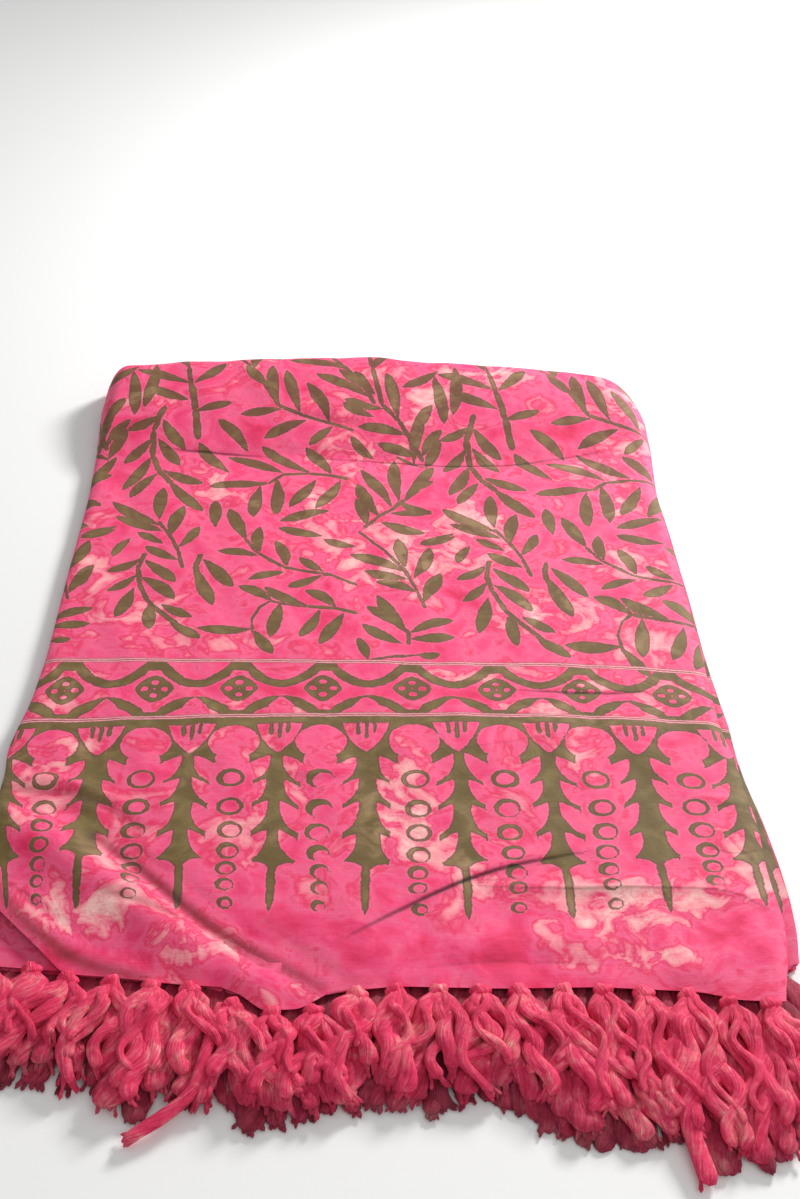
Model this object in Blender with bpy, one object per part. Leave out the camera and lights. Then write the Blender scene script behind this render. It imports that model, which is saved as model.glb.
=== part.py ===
"""A batik sarong lying folded in four on a surface, knotted fringe towards -Y.

Metres, +Z up, the surface it rests on at z = 0. +Y runs up the length of the cloth to the soft
roll at the far fold, +X towards its open selvedges. One object is the top layer of cloth, one
is the hidden layers below it, and each knotted tassel and each strip of the lower fringe is its
own object.
"""

import math

import bmesh
import bpy
import numpy as np

WALL = 0.0012  # cloth, as a rigid stand-in
GAP = 0.0004  # between neighbours
Y_NEAR = -0.325  # station of the hem
Y_FAR = 0.470  # station of the far fold
X_LEFT = -0.2775  # the nominal left fold, for COLUMNS
X_RIGHT = 0.270  # the nominal selvedge
TASSELS = 20
TASSEL_PITCH = 0.0272
LOWER_STRIPS = 5
LOWER_LOCKS = 12  # in each strip
LOCK_PITCH = 0.0091

# Columns of the grid, as nominal x, closer together at the rounded left fold and the selvedge.
COLUMNS = (
    -0.2775, -0.2762, -0.2725, -0.2665, -0.250, -0.230, -0.208, -0.186, -0.163, -0.140, -0.118,
    -0.098, -0.079, -0.058, -0.038, -0.014, 0.014, 0.044, 0.076, 0.108, 0.140, 0.172, 0.202,
    0.230, 0.250, 0.262, 0.270,
)
# Rows of the grid, as stations, closer together at the hem and the far roll.
ROWS = (
    -0.325, -0.320, -0.310, -0.292, -0.272, -0.252, -0.232, -0.212, -0.188, -0.160, -0.128,
    -0.090, -0.048, -0.004, 0.040, 0.086, 0.132, 0.178, 0.222, 0.260, 0.288, 0.304, 0.320, 0.340,
    0.362, 0.386, 0.408, 0.428, 0.444, 0.4565, 0.4645, 0.4690, 0.470,
)
# One row per section: station, then x of the left fold and the right edge of the top layer, and
# of the lower layers, then the height of the top layer's edge on the left and on the right.
SECTIONS = (
    ("station", "left", "right", "low_left", "low_right", "foot_left", "foot_right"),
    (-0.325, -0.286, 0.264, -0.284, 0.281, 0.0104, 0.0104),
    (-0.303, -0.287, 0.2720, -0.2850, 0.2860, 0.0102, 0.0102),
    (-0.268, -0.287, 0.2785, -0.2855, 0.2886, 0.0098, 0.0098),
    (-0.225, -0.288, 0.2755, -0.2865, 0.2865, 0.0095, 0.0096),
    (-0.176, -0.288, 0.2780, -0.2865, 0.2825, 0.0095, 0.0095),
    (-0.139, -0.287, 0.2750, -0.2860, 0.2780, 0.0095, 0.0095),
    (-0.106, -0.290, 0.2740, -0.2885, 0.2755, 0.0095, 0.0095),
    (-0.077, -0.287, 0.2690, -0.2865, 0.2765, 0.0095, 0.0095),
    (-0.036, -0.281, 0.2690, -0.2805, 0.2750, 0.0095, 0.0095),
    (0.022, -0.2775, 0.2700, -0.2780, 0.2735, 0.0095, 0.0098),
    (0.130, -0.2770, 0.2690, -0.2780, 0.2710, 0.0095, 0.0100),
    (0.250, -0.2750, 0.2670, -0.2755, 0.2680, 0.0095, 0.0100),
    (0.330, -0.2780, 0.2730, -0.2770, 0.2720, 0.0085, 0.0085),
    (0.400, -0.2830, 0.2750, -0.2790, 0.2710, 0.0040, 0.0040),
    (0.440, -0.2820, 0.2700, -0.2770, 0.2650, 0.0018, 0.0018),
    (0.470, -0.2770, 0.2630, -0.2720, 0.2580, 0.0015, 0.0015),
)
# Height of the top layer along the middle of the cloth, by station.
HEIGHTS = (
    ("station", "height"),
    (-0.325, 0.0116), (-0.290, 0.0122), (-0.200, 0.0127), (-0.060, 0.0128), (0.100, 0.0130),
    (0.220, 0.0136), (0.285, 0.0145), (0.306, 0.0142), (0.330, 0.0200), (0.362, 0.0300),
    (0.400, 0.0390), (0.430, 0.0432), (0.452, 0.0435), (0.470, 0.0430),
)
# How high the far roll stands across the cloth, as a share.
ROLL_SHARE = (
    ("x", "share"),
    (-0.287, 0.86), (-0.200, 0.95), (-0.080, 1.02), (0.000, 1.06), (0.060, 0.99), (0.170, 0.98),
    (0.235, 0.90), (0.275, 0.80),
)
# The hem of the top layer, of the lower layers, and the back of the far fold, across the cloth.
HEM = (
    ("x", "y"),
    (-0.290, -0.226), (-0.2745, -0.246), (-0.263, -0.258), (-0.238, -0.284), (-0.214, -0.308),
    (-0.182, -0.311), (-0.134, -0.318), (-0.101, -0.321), (-0.079, -0.340), (-0.054, -0.339),
    (-0.035, -0.326), (0.011, -0.322), (0.078, -0.325), (0.144, -0.325), (0.210, -0.330),
    (0.234, -0.337), (0.264, -0.339), (0.290, -0.330),
)
LOW_HEM = (
    ("x", "y"),
    (-0.290, -0.296), (-0.262, -0.300), (-0.214, -0.305), (-0.134, -0.315), (-0.101, -0.318),
    (-0.079, -0.331), (-0.054, -0.331), (-0.035, -0.321), (0.011, -0.318), (0.144, -0.321),
    (0.210, -0.325), (0.236, -0.330), (0.260, -0.326), (0.272, -0.310), (0.290, -0.302),
)
FAR = (
    ("x", "y"),
    (-0.290, 0.462), (-0.262, 0.473), (-0.206, 0.478), (-0.111, 0.479), (-0.006, 0.481),
    (0.057, 0.467), (0.171, 0.458), (0.231, 0.438), (0.262, 0.424), (0.280, 0.412),
)
# Largest folds: height above the cloth and half width, then the line each one follows.
FOLDS = (
    ("name", "height", "width", "line"),
    ("front left ridge", 0.0095, 0.019,
     ((-0.290, -0.152), (-0.229, -0.206), (-0.181, -0.246), (-0.140, -0.280), (-0.085, -0.318))),
    ("front left trough", -0.0042, 0.009,
     ((-0.205, -0.186), (-0.163, -0.219), (-0.128, -0.252), (-0.098, -0.280), (-0.045, -0.318))),
    ("corner trough", -0.0030, 0.010,
     ((-0.270, -0.236), (-0.226, -0.270), (-0.189, -0.297), (-0.154, -0.312))),
    ("lifted corner", 0.0060, 0.020,
     ((-0.276, -0.250), (-0.240, -0.286), (-0.222, -0.302))),
    ("left pucker", 0.0032, 0.009, ((-0.287, -0.128), (-0.241, -0.134), (-0.190, -0.162))),
    ("left dip", -0.0028, 0.008, ((-0.287, -0.150), (-0.232, -0.158), (-0.196, -0.180))),
    ("middle pleat", 0.0022, 0.009,
     ((-0.012, -0.272), (0.038, -0.240), (0.096, -0.214), (0.146, -0.204))),
    ("right ridge", 0.0018, 0.010, ((0.070, -0.240), (0.175, -0.240), (0.266, -0.252))),
    ("hem wave", 0.0022, 0.013, ((0.010, -0.296), (0.090, -0.286), (0.190, -0.292))),
    ("right hem puff", 0.0026, 0.016, ((0.190, -0.318), (0.236, -0.308), (0.262, -0.290))),
    ("middle wave", 0.0016, 0.020, ((-0.060, -0.100), (0.060, -0.090), (0.250, -0.082))),
    ("roll crease", -0.0026, 0.010, ((-0.190, 0.322), (-0.080, 0.318), (0.100, 0.300), (0.215, 0.312))),
    ("far right tuck", -0.0035, 0.012, ((0.110, 0.448), (0.180, 0.436), (0.232, 0.414))),
)
# How far the fringe reaches from the hem, across it.
FRINGE_ENDS = (
    ("x", "y"),
    (-0.285, -0.388), (-0.239, -0.394), (-0.2025, -0.391), (-0.170, -0.403), (-0.157, -0.430),
    (-0.143, -0.405), (-0.120, -0.4105), (-0.085, -0.427), (-0.051, -0.426), (-0.0025, -0.413),
    (0.028, -0.420), (0.053, -0.410), (0.083, -0.421), (0.107, -0.440), (0.141, -0.446),
    (0.178, -0.443), (0.189, -0.452), (0.198, -0.469), (0.210, -0.464), (0.230, -0.454),
    (0.248, -0.430), (0.272, -0.405), (0.300, -0.398),
)
# Heights that part the three levels of locks, by distance from the hem.
LEVELS = (
    ("out", "floor", "first", "second", "third"),
    (0.000, 0.0007, 0.0062, 0.0112, 0.0160),
    (0.022, 0.0007, 0.0072, 0.0135, 0.0195),
    (0.052, 0.0007, 0.0070, 0.0128, 0.0182),
    (0.085, 0.0006, 0.0056, 0.0102, 0.0146),
    (0.120, 0.0005, 0.0044, 0.0084, 0.0122),
    (0.160, 0.0005, 0.0036, 0.0070, 0.0100),
)
LOCK_STEPS = (0.022, 0.052, 0.085, 0.120)
# Rings down the edge of the lower layers: share of the edge's height, inset on the left fold, on
# the selvedges and hem, and at the far fold, and how far the ring has gone to the lower outline.
EDGE_RINGS = (
    ("height", "left", "open", "far", "to_lower"),
    (0.86, 0.0040, 0.0040, 0.0006, 0.0),
    (0.72, 0.0012, 0.0010, 0.0010, 1.0),
    (0.52, 0.0000, 0.0000, 0.0010, 1.0),
    (0.40, 0.0002, 0.0022, 0.0010, 1.0),
    (0.26, 0.0000, 0.0006, 0.0010, 1.0),
    (0.00, 0.0022, 0.0014, 0.0012, 1.0),
)


def table(rows, name, at, key=0):
    """Column `name` of a table, at values of its first column."""
    col = rows[0].index(name)
    keys = [row[key] for row in rows[1:]]
    return np.interp(at, keys, [row[col] for row in rows[1:]])


def smooth(rows, name, at, reach):
    """The same, averaged over `reach` to each side, so that no section shows as a corner."""
    steps = np.linspace(-reach, reach, 7)
    return np.mean([table(rows, name, at + step) for step in steps], axis=0)


def away(x, y, line):
    """Distance of points from a line of points, and how far along it the nearest place is."""
    best = np.full(x.shape, 1e9)
    along = np.zeros(x.shape)
    pieces = len(line) - 1
    for k in range(pieces):
        ax, ay = line[k]
        bx, by = line[k + 1]
        dx, dy = bx - ax, by - ay
        t = np.clip(((x - ax) * dx + (y - ay) * dy) / (dx * dx + dy * dy), 0, 1)
        far = np.hypot(x - ax - t * dx, y - ay - t * dy)
        along = np.where(far < best, (k + t) / pieces, along)
        best = np.minimum(far, best)
    return best, along


def plan(s, u, left, right, hem):
    """Where station s and share u across the cloth lie, seen from above."""
    x_left = smooth(SECTIONS, left, s, 0.012)
    x = x_left + u * (smooth(SECTIONS, right, s, 0.012) - x_left)
    near = np.clip(1 - (s - Y_NEAR) / 0.30, 0, 1) ** 1.5
    far = np.clip(1 - (Y_FAR - s) / 0.17, 0, 1) ** 1.5
    y = s + near * (smooth(hem, "y", x, 0.004) - Y_NEAR)
    return x, y + far * (smooth(FAR, "y", x, 0.012) - Y_FAR)


def rounded(distance, width, power):
    """0 at an edge and 1 from `width` on: an ellipse at power 2, a soft droop at power 1."""
    t = np.clip(distance / width, 0, 1)
    return (1 - (1 - t) ** 2) ** (1 / power)


def top_surface():
    """The grid of points of the top layer: rows from hem to far fold, columns left to right."""
    s, columns = np.meshgrid(np.array(ROWS), np.array(COLUMNS), indexing="ij")
    u = (columns - X_LEFT) / (X_RIGHT - X_LEFT)
    x, y = plan(s, u, "left", "right", HEM)
    roll = np.clip((s - 0.306) / 0.10, 0, 1)
    height = smooth(HEIGHTS, "height", s, 0.010)
    height = height + (height - 0.013) * roll * (smooth(ROLL_SHARE, "share", x, 0.02) - 1)
    height = height + 0.0005 * np.sin(31 * x + 2) * np.sin(23 * y + 1)
    for name, rise, width, line in FOLDS[1:]:
        far, along = away(x, y, line)
        height = height + rise * np.exp(-((far / width) ** 2)) * np.sin(
            math.pi * (0.12 + 0.76 * along)
        )
    foot = table(SECTIONS, "foot_left", s) * (1 - u) + table(SECTIONS, "foot_right", s) * u
    lift, _ = away(x, y, ((-0.270, -0.256), (-0.236, -0.288)))
    foot = foot + 0.0045 * np.exp(-((lift / 0.022) ** 2))
    height = np.maximum(height, foot + 0.0008)
    width = u * (X_RIGHT - X_LEFT)
    side = rounded(width, 0.011 + 0.010 * roll, 2)
    open_side = rounded(X_RIGHT - X_LEFT - width, 0.012 + 0.026 * roll, 1 + roll)
    hem_side = rounded(s - Y_NEAR, 0.014, 1)
    back = rounded(Y_FAR - s, 0.026, 2)
    z = foot + (height - foot) * side * open_side * hem_side * back
    return np.stack([x, y, z], axis=-1)


def normals(grid):
    """Unit normals of a grid of points, on the side that faces up and out."""
    across = np.gradient(grid, axis=1)
    along = np.gradient(grid, axis=0)
    normal = np.cross(across, along)
    normal = normal / np.linalg.norm(normal, axis=-1, keepdims=True)
    # The far corners come down to a point, so they take their direction from their neighbours.
    for side, inner in ((0, 3), (-1, -4)):
        for row, turn in ((-1, 1.0), (-2, 0.3), (-3, 0.1)):
            corner = (normal[-5, side] + turn * normal[-1, inner]) * (1, 1, 0)
            normal[row, side] = corner / np.linalg.norm(corner)
    return normal


def ring_order(rows, cols):
    """Places round the rim of a grid, anticlockwise from its near left corner."""
    near = [(0, j) for j in range(cols)]
    right = [(i, cols - 1) for i in range(1, rows)]
    far = [(rows - 1, j) for j in range(cols - 2, -1, -1)]
    left = [(i, 0) for i in range(rows - 2, 0, -1)]
    return near + right + far + left


def add_object(name, points, faces, colour):
    """One closed body with its own material."""
    mesh = bpy.data.meshes.new(name)
    mesh.from_pydata([tuple(map(float, p)) for p in points], [], faces)
    bm = bmesh.new()
    bm.from_mesh(mesh)
    bmesh.ops.recalc_face_normals(bm, faces=bm.faces)
    if bm.calc_volume(signed=True) < 0:
        bmesh.ops.reverse_faces(bm, faces=bm.faces)
    bm.to_mesh(mesh)
    bm.free()
    body = bpy.data.objects.new(name, mesh)
    bpy.context.scene.collection.objects.link(body)
    material = bpy.data.materials.new(name)
    material.use_nodes = True
    shader = material.node_tree.nodes["Principled BSDF"]
    shader.inputs["Base Color"].default_value = (*colour, 1)
    shader.inputs["Roughness"].default_value = 0.85
    mesh.materials.append(material)
    return body


def grid_faces(rows, cols, start, flip):
    """Triangles of a grid of points, each cell parted the same way on every grid."""
    faces = []
    for i in range(rows - 1):
        for j in range(cols - 1):
            a = start + i * cols + j
            for three in ((a, a + 1, a + cols + 1), (a, a + cols + 1, a + cols)):
                faces.append(three[::-1] if flip else three)
    return faces


def top_layer(top):
    """The cloth that shows: a thin wall on the grid, closed round its rim."""
    rows, cols = top.shape[:2]
    under = top - WALL * normals(top)
    under[..., 2] = np.maximum(under[..., 2], 0.0008)
    points = list(top.reshape(-1, 3)) + list(under.reshape(-1, 3))
    faces = grid_faces(rows, cols, 0, False) + grid_faces(rows, cols, rows * cols, True)
    rim = [i * cols + j for i, j in ring_order(rows, cols)]
    for a, b in zip(rim, rim[1:] + rim[:1]):
        faces.append((a, a + rows * cols, b + rows * cols, b))
    add_object("top_layer", points, faces, (0.85, 0.12, 0.26))


def folded_layers(top):
    """The hidden layers: one rounded solid, flat below, its edge stepped like a stack of cloth.

    Returns the outline of the lower layers along the hem, as x and y.
    """
    rows, cols = top.shape[:2]
    s, columns = np.meshgrid(np.array(ROWS), np.array(COLUMNS), indexing="ij")
    apart = WALL + GAP + 0.0008 * np.clip((s - 0.38) / 0.04, 0, 1)
    lid = top - apart[..., None] * normals(top)
    lid[..., 2] = np.maximum(lid[..., 2], 0.0012)
    u = (columns - X_LEFT) / (X_RIGHT - X_LEFT)
    low_x, low_y = plan(s, u, "low_left", "low_right", LOW_HEM)
    low_y = low_y - 0.004 * np.clip((s - 0.44) / 0.03, 0, 1)
    points = list(lid.reshape(-1, 3))
    faces = grid_faces(rows, cols, 0, False)
    order = ring_order(rows, cols)
    above = [i * cols + j for i, j in order]
    outline = np.array([[low_x[i, j], low_y[i, j]] for i, j in order])
    lids = np.array([lid[i, j] for i, j in order])
    run = np.roll(outline, -1, axis=0) - np.roll(outline, 1, axis=0)
    out = np.stack([run[:, 1], -run[:, 0]], axis=1) / np.linalg.norm(run, axis=1)[:, None]
    share = np.array([ROWS[i] for i, j in order])
    far = np.clip((share - 0.33) / 0.09, 0, 1)
    left = np.array([1.0 if j == 0 else 0.0 for i, j in order])
    corner = np.exp(-((lids[:, 0] + 0.245) / 0.03) ** 2) * (share < -0.3)
    for k, (height, inset_left, inset_open, inset_far, to_lower) in enumerate(EDGE_RINGS[1:]):
        inset = inset_left * left + inset_open * (1 - left)
        inset = inset * (1 - far) + inset_far * far
        if to_lower:
            flat = outline - out * inset[:, None]
            z = np.minimum(height * lids[:, 2], height * 0.0088)
        else:
            flat = lids[:, :2] - out * (inset + 0.010 * corner)[:, None]
            z = np.minimum(height * lids[:, 2], 0.0084 - 0.0012 * corner)
        below = []
        for (px, py), pz in zip(flat, z):
            below.append(len(points))
            points.append((px, py, pz))
        for a, b, c, d in zip(above, above[1:] + above[:1], below[1:] + below[:1], below):
            faces.append((a, d, c, b))
        above = below
    faces.append(tuple(above[::-1]))
    add_object("folded_layers", points, faces, (0.72, 0.10, 0.22))
    return outline[:cols]


def wander(x, out, level):
    """How far a lock's lane has moved sideways at a distance out from the hem."""
    phase = (0.3, 2.1, 4.0)[level]
    wave = 0.0052 * math.sin(x / 0.034 + phase) + 0.0030 * math.sin(x / 0.019 + 2.2 * phase)
    bend = math.sin(min(out, 0.12) / 0.12 * math.pi * (0.55 + 0.1 * level))
    spread = 0.16 * max(x - 0.20, 0) + 0.10 * min(x + 0.24, 0)
    return (wave * bend) + spread * min(out / 0.08, 1.0) * 2.0


def add_lock(points, faces, root, lane, hem_y, end_y, level):
    """A soft lock of strands, four sides, extruded from a cell of its backing.

    root: the cell's four corners, anticlockwise seen from -Y. lane: its two bounds at the hem.
    """
    above = root
    names = LEVELS[0][1:]
    reach = hem_y - end_y
    steps = [step for step in LOCK_STEPS if step < reach - 0.010] + [reach]
    for k, out in enumerate(steps):
        a = lane[0] + wander(lane[0], out, level)
        b = lane[1] + wander(lane[1], out, level)
        low = float(table(LEVELS, names[level], out)) + 0.0002
        high = float(table(LEVELS, names[level + 1], out)) - 0.0002
        centre = (a + b) / 2
        if k == len(steps) - 1:
            points.append((centre, hem_y - out, low + 0.35 * (high - low)))
            tip = len(points) - 1
            for m in range(4):
                faces.append((above[m], above[(m + 1) % 4], tip))
            return
        taper = min(1.0, 0.62 + 0.38 * (reach - out) / 0.03)
        wide = (abs(b - a) / 2 - 0.0004) * taper
        tall = (high - low) / 2
        turn = math.radians(225 + 20 * (k + 1) * (1 if (level + round(lane[0] * 900)) % 2 else -1))
        ring = []
        for m in range(4):
            angle = turn + m * math.pi / 2
            ring.append(len(points))
            points.append(
                (centre + wide * math.cos(angle), hem_y - out, (low + high) / 2 + tall * math.sin(angle))
            )
        for m in range(4):
            faces.append((above[m], above[(m + 1) % 4], ring[(m + 1) % 4], ring[m]))
        above = ring


def scatter(number):
    """A repeatable value between 0 and 1."""
    return (math.sin(number * 12.9898 + 4.1) * 43758.5453) % 1.0


def fringe_end(x, level, number):
    """Where a lock at x ends: the lowest level reaches the fringe's outline."""
    end = float(table(FRINGE_ENDS, "y", x))
    return end + (0.0, 0.008, 0.018)[level] + (0.007, 0.010, 0.016)[level] * scatter(number)


def hem_at(x, rim_x, rim_y):
    """The hem's y near x, averaged, which all locks are measured from."""
    return float(np.mean(np.interp(np.linspace(x - 0.03, x + 0.03, 13), rim_x, rim_y))) - 0.004


def tassel(number, x, lanes, rim_x, rim_y):
    """A knot at the hem and six locks, in two levels, that spread from it.

    lanes: the bounds of its three places across the fringe.
    """
    near = np.linspace(x - 0.0110, x + 0.0110, 9)
    back_y = float(np.min(np.interp(near, rim_x, rim_y))) - 0.0006
    low = float(table(LEVELS, "first", 0.004)) + 0.0003
    high = float(table(LEVELS, "third", 0.004))
    middle = (low + high) / 2
    points = []
    faces = []
    rings = []
    # The knot: distance out, half width and half height of each ring of eight.
    for out, wide, tall in ((0.0, 0.0038, 0.0026), (0.0036, 0.0068, 0.0047), (0.0084, 0.0050, 0.0036)):
        ring = []
        for m in range(8):
            angle = math.radians(-135 + 45 * m)
            ring.append(len(points))
            points.append(
                (x + wide * math.cos(angle), back_y - out, middle + tall * math.sin(angle))
            )
        rings.append(ring)
    for first, second in zip(rings, rings[1:]):
        for m in range(8):
            faces.append((first[m], first[(m + 1) % 8], second[(m + 1) % 8], second[m]))
    faces.append(tuple(rings[0][::-1]))
    # The face that the locks leave from: columns of a lock and a gap, rows of a lock and a gap.
    front_y = back_y - 0.0125
    xs = [x - 0.0100, x - 0.0040, x - 0.0034, x + 0.0034, x + 0.0040, x + 0.0100]
    zs = [low + 0.0004, middle - 0.0004, middle + 0.0004, high - 0.0004]
    cell = [[len(points) + r * 6 + c for c in range(6)] for r in range(4)]
    points += [(px, front_y, pz) for pz in zs for px in xs]
    rim = cell[0] + [cell[1][5], cell[2][5]] + cell[3][::-1] + [cell[2][0], cell[1][0]]
    last = rings[-1]
    bounds = (0, 2, 5, 6, 8, 10, 13, 14, 16)
    for m in range(8):
        run = [rim[q % 16] for q in range(bounds[m], bounds[m + 1] + 1)]
        faces.append(tuple([last[(m + 1) % 8], last[m]] + run))
    for r in range(3):
        for c in range(5):
            quad = (cell[r][c], cell[r][c + 1], cell[r + 1][c + 1], cell[r + 1][c])
            if r == 1 or c % 2:
                faces.append(quad)
                continue
            level = 1 + r // 2
            lane = lanes[c // 2 : c // 2 + 2]
            middle_x = (lane[0] + lane[1]) / 2
            end = fringe_end(middle_x, level, number * 7 + r * 3 + c)
            add_lock(points, faces, quad, lane, hem_at(middle_x, rim_x, rim_y), end, level)
    add_object("tassel_%02d" % number, points, faces, (0.70, 0.07, 0.17))


def lower_fringe(number, start_x, low_x, low_y):
    """A narrow strip along the hem of the lower layers, with one level of locks."""
    low = 0.0008
    high = float(table(LEVELS, "first", 0.002)) - 0.0008
    deep = 0.0045
    points = []
    faces = []
    bounds = [start_x + 0.0016]
    for k in range(LOWER_LOCKS):
        bounds.append(start_x + k * LOCK_PITCH + 0.0022)
        bounds.append(start_x + (k + 1) * LOCK_PITCH - 0.0022)
    bounds.append(start_x + LOWER_LOCKS * LOCK_PITCH - 0.0016)
    back = [float(np.interp(px, low_x, low_y)) - 0.0006 for px in bounds]
    for px, py in zip(bounds, back):
        points += [(px, py, low), (px, py, high), (px, py - deep, low), (px, py - deep, high)]
    for k in range(len(bounds) - 1):
        a = 4 * k
        b = a + 4
        faces.append((a, b, b + 1, a + 1))
        faces.append((a + 1, b + 1, b + 3, a + 3))
        faces.append((a, a + 2, b + 2, b))
        quad = (a + 2, b + 2, b + 3, a + 3)
        if k % 2 == 0:
            faces.append(quad)
            continue
        lane_x = start_x + (k // 2) * LOCK_PITCH
        end = fringe_end(lane_x + LOCK_PITCH / 2, 0, number * 31 + k)
        hem_y = (back[k] + back[k + 1]) / 2
        add_lock(points, faces, quad, (lane_x, lane_x + LOCK_PITCH), hem_y, end, 0)
    last = 4 * (len(bounds) - 1)
    faces.append((0, 1, 3, 2))
    faces.append((last, last + 2, last + 3, last + 1))
    add_object("lower_fringe_%d" % number, points, faces, (0.62, 0.05, 0.14))


for thing in list(bpy.data.objects):
    bpy.data.objects.remove(thing)

surface = top_surface()
top_layer(surface)
low_hem = folded_layers(surface)

# The tassels hang from the top hem, and at the lifted corner from the hem of the layer below.
lower_y = np.interp(surface[0, :, 0], low_hem[:, 0], low_hem[:, 1])
hem_line = np.minimum(surface[0, :, 1], lower_y + 0.002)
knots = [-0.2625 + n * TASSEL_PITCH + 0.0010 * math.sin(2.3 * n) for n in range(TASSELS)]
borders = [(a + b) / 2 for a, b in zip(knots, knots[1:])]
borders = [knots[0] - TASSEL_PITCH / 2] + borders + [knots[-1] + TASSEL_PITCH / 2]
for n, knot in enumerate(knots):
    places = [borders[n] + (borders[n + 1] - borders[n]) * k / 3 for k in range(4)]
    tassel(n + 1, knot, places, surface[0, :, 0], hem_line)
for n in range(LOWER_STRIPS):
    lower_fringe(n + 1, -0.273 + n * LOWER_LOCKS * LOCK_PITCH, low_hem[:, 0], low_hem[:, 1])
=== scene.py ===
"""A batik sarong of thin rayon, folded in four and lying on a pale floor, seen from its fringed end.

Metres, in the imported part's own frame: +Y runs from the fringe to the soft roll at the far fold,
+X from the long fold to the open selvedges, +Z up from the floor. The print follows the cloth's own
coordinates, in millimetres: U across it and V along it, measured over its rounded edges.
"""

import math

import bpy
import numpy as np
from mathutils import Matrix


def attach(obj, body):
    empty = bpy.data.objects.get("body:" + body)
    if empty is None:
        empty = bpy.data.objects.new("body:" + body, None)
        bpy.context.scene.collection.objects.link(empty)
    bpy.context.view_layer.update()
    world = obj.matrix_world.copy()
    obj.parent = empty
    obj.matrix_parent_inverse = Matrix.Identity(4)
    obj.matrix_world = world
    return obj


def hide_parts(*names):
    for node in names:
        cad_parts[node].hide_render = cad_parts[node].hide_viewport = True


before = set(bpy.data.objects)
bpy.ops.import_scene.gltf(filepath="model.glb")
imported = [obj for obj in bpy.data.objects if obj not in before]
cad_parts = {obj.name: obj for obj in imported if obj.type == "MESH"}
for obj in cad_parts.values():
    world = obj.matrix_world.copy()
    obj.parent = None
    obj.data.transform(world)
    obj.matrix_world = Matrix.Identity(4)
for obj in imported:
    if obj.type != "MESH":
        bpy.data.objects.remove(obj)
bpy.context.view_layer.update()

# The top quarter of the cloth
# Plain woven rayon, hand stamped in wax and dyed rose over olive. It is one thin shell that runs from
# the knotted hem over the rolled far fold and turns under at the long fold. It lies on the CAD solid.

Y_HEM, Y_ROLL = -0.325, 0.470  # stations of the hem and of the far fold
X_FOLD, X_OPEN = -0.2775, 0.270  # nominal long fold and selvedge
FIRST_KNOT, KNOT_PITCH = -0.2625, 0.0272  # x of the leftmost knot, and from one knot to the next
CLOTH_THICK = 0.0006
HEM_NEAR, ROLL_NEAR = 0.30, 0.17  # how far in the hem's and the far fold's outlines are felt
INSIDE = 14  # rows in from an edge, past its rounding
BEND, FLANGE, FAR_FLANGE = 0.0007, 0.009, 0.010  # radius of a turned edge, and how far it runs back
# Wide folds have their hollows darkened in colour, a soft painted shade.
WIDE_FOLD = 0.005  # half width above which a fold is shaded softly, not drawn as a line


def columns(names, *rows):
    """Rows of numbers as named columns."""
    return dict(zip(names.split(), np.array(rows, float).T))


EDGES = columns(
    "station left right low_left low_right foot_left foot_right",
    (-0.325, -0.286, 0.264, -0.284, 0.281, 0.0104, 0.0104),
    (-0.303, -0.287, 0.2720, -0.2850, 0.2860, 0.0102, 0.0102),
    (-0.268, -0.287, 0.2785, -0.2855, 0.2886, 0.0098, 0.0098),
    (-0.225, -0.288, 0.2755, -0.2865, 0.2865, 0.0095, 0.0096),
    (-0.176, -0.288, 0.2780, -0.2865, 0.2825, 0.0095, 0.0095),
    (-0.139, -0.287, 0.2750, -0.2860, 0.2780, 0.0095, 0.0095),
    (-0.106, -0.290, 0.2740, -0.2885, 0.2755, 0.0095, 0.0095),
    (-0.077, -0.287, 0.2690, -0.2865, 0.2765, 0.0095, 0.0095),
    (-0.036, -0.281, 0.2690, -0.2805, 0.2750, 0.0095, 0.0095),
    (0.022, -0.2775, 0.2700, -0.2780, 0.2735, 0.0095, 0.0098),
    (0.130, -0.2770, 0.2690, -0.2780, 0.2710, 0.0095, 0.0100),
    (0.250, -0.2750, 0.2670, -0.2755, 0.2680, 0.0095, 0.0100),
    (0.330, -0.2780, 0.2730, -0.2770, 0.2720, 0.0085, 0.0085),
    (0.400, -0.2830, 0.2750, -0.2790, 0.2710, 0.0040, 0.0040),
    (0.440, -0.2820, 0.2700, -0.2770, 0.2650, 0.0018, 0.0018),
    (0.470, -0.2770, 0.2630, -0.2720, 0.2580, 0.0015, 0.0015),
)
HEIGHTS = columns(
    "station height",
    (-0.325, 0.0116), (-0.290, 0.0122), (-0.200, 0.0127), (-0.060, 0.0128), (0.100, 0.0130),
    (0.220, 0.0136), (0.285, 0.0145), (0.306, 0.0142), (0.330, 0.0200), (0.362, 0.0300),
    (0.400, 0.0390), (0.430, 0.0432), (0.452, 0.0435), (0.470, 0.0430),
)
ROLL_SHARE = columns(
    "x share",
    (-0.287, 0.86), (-0.200, 0.95), (-0.080, 1.02), (0.000, 1.06), (0.060, 0.99), (0.170, 0.98),
    (0.235, 0.90), (0.275, 0.80),
)
HEM = columns(
    "x y",
    (-0.290, -0.226), (-0.2745, -0.246), (-0.263, -0.258), (-0.238, -0.284), (-0.214, -0.308),
    (-0.182, -0.311), (-0.134, -0.318), (-0.101, -0.321), (-0.079, -0.340), (-0.054, -0.339),
    (-0.035, -0.326), (0.011, -0.322), (0.078, -0.325), (0.144, -0.325), (0.210, -0.330),
    (0.234, -0.337), (0.264, -0.339), (0.290, -0.330),
)
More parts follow.
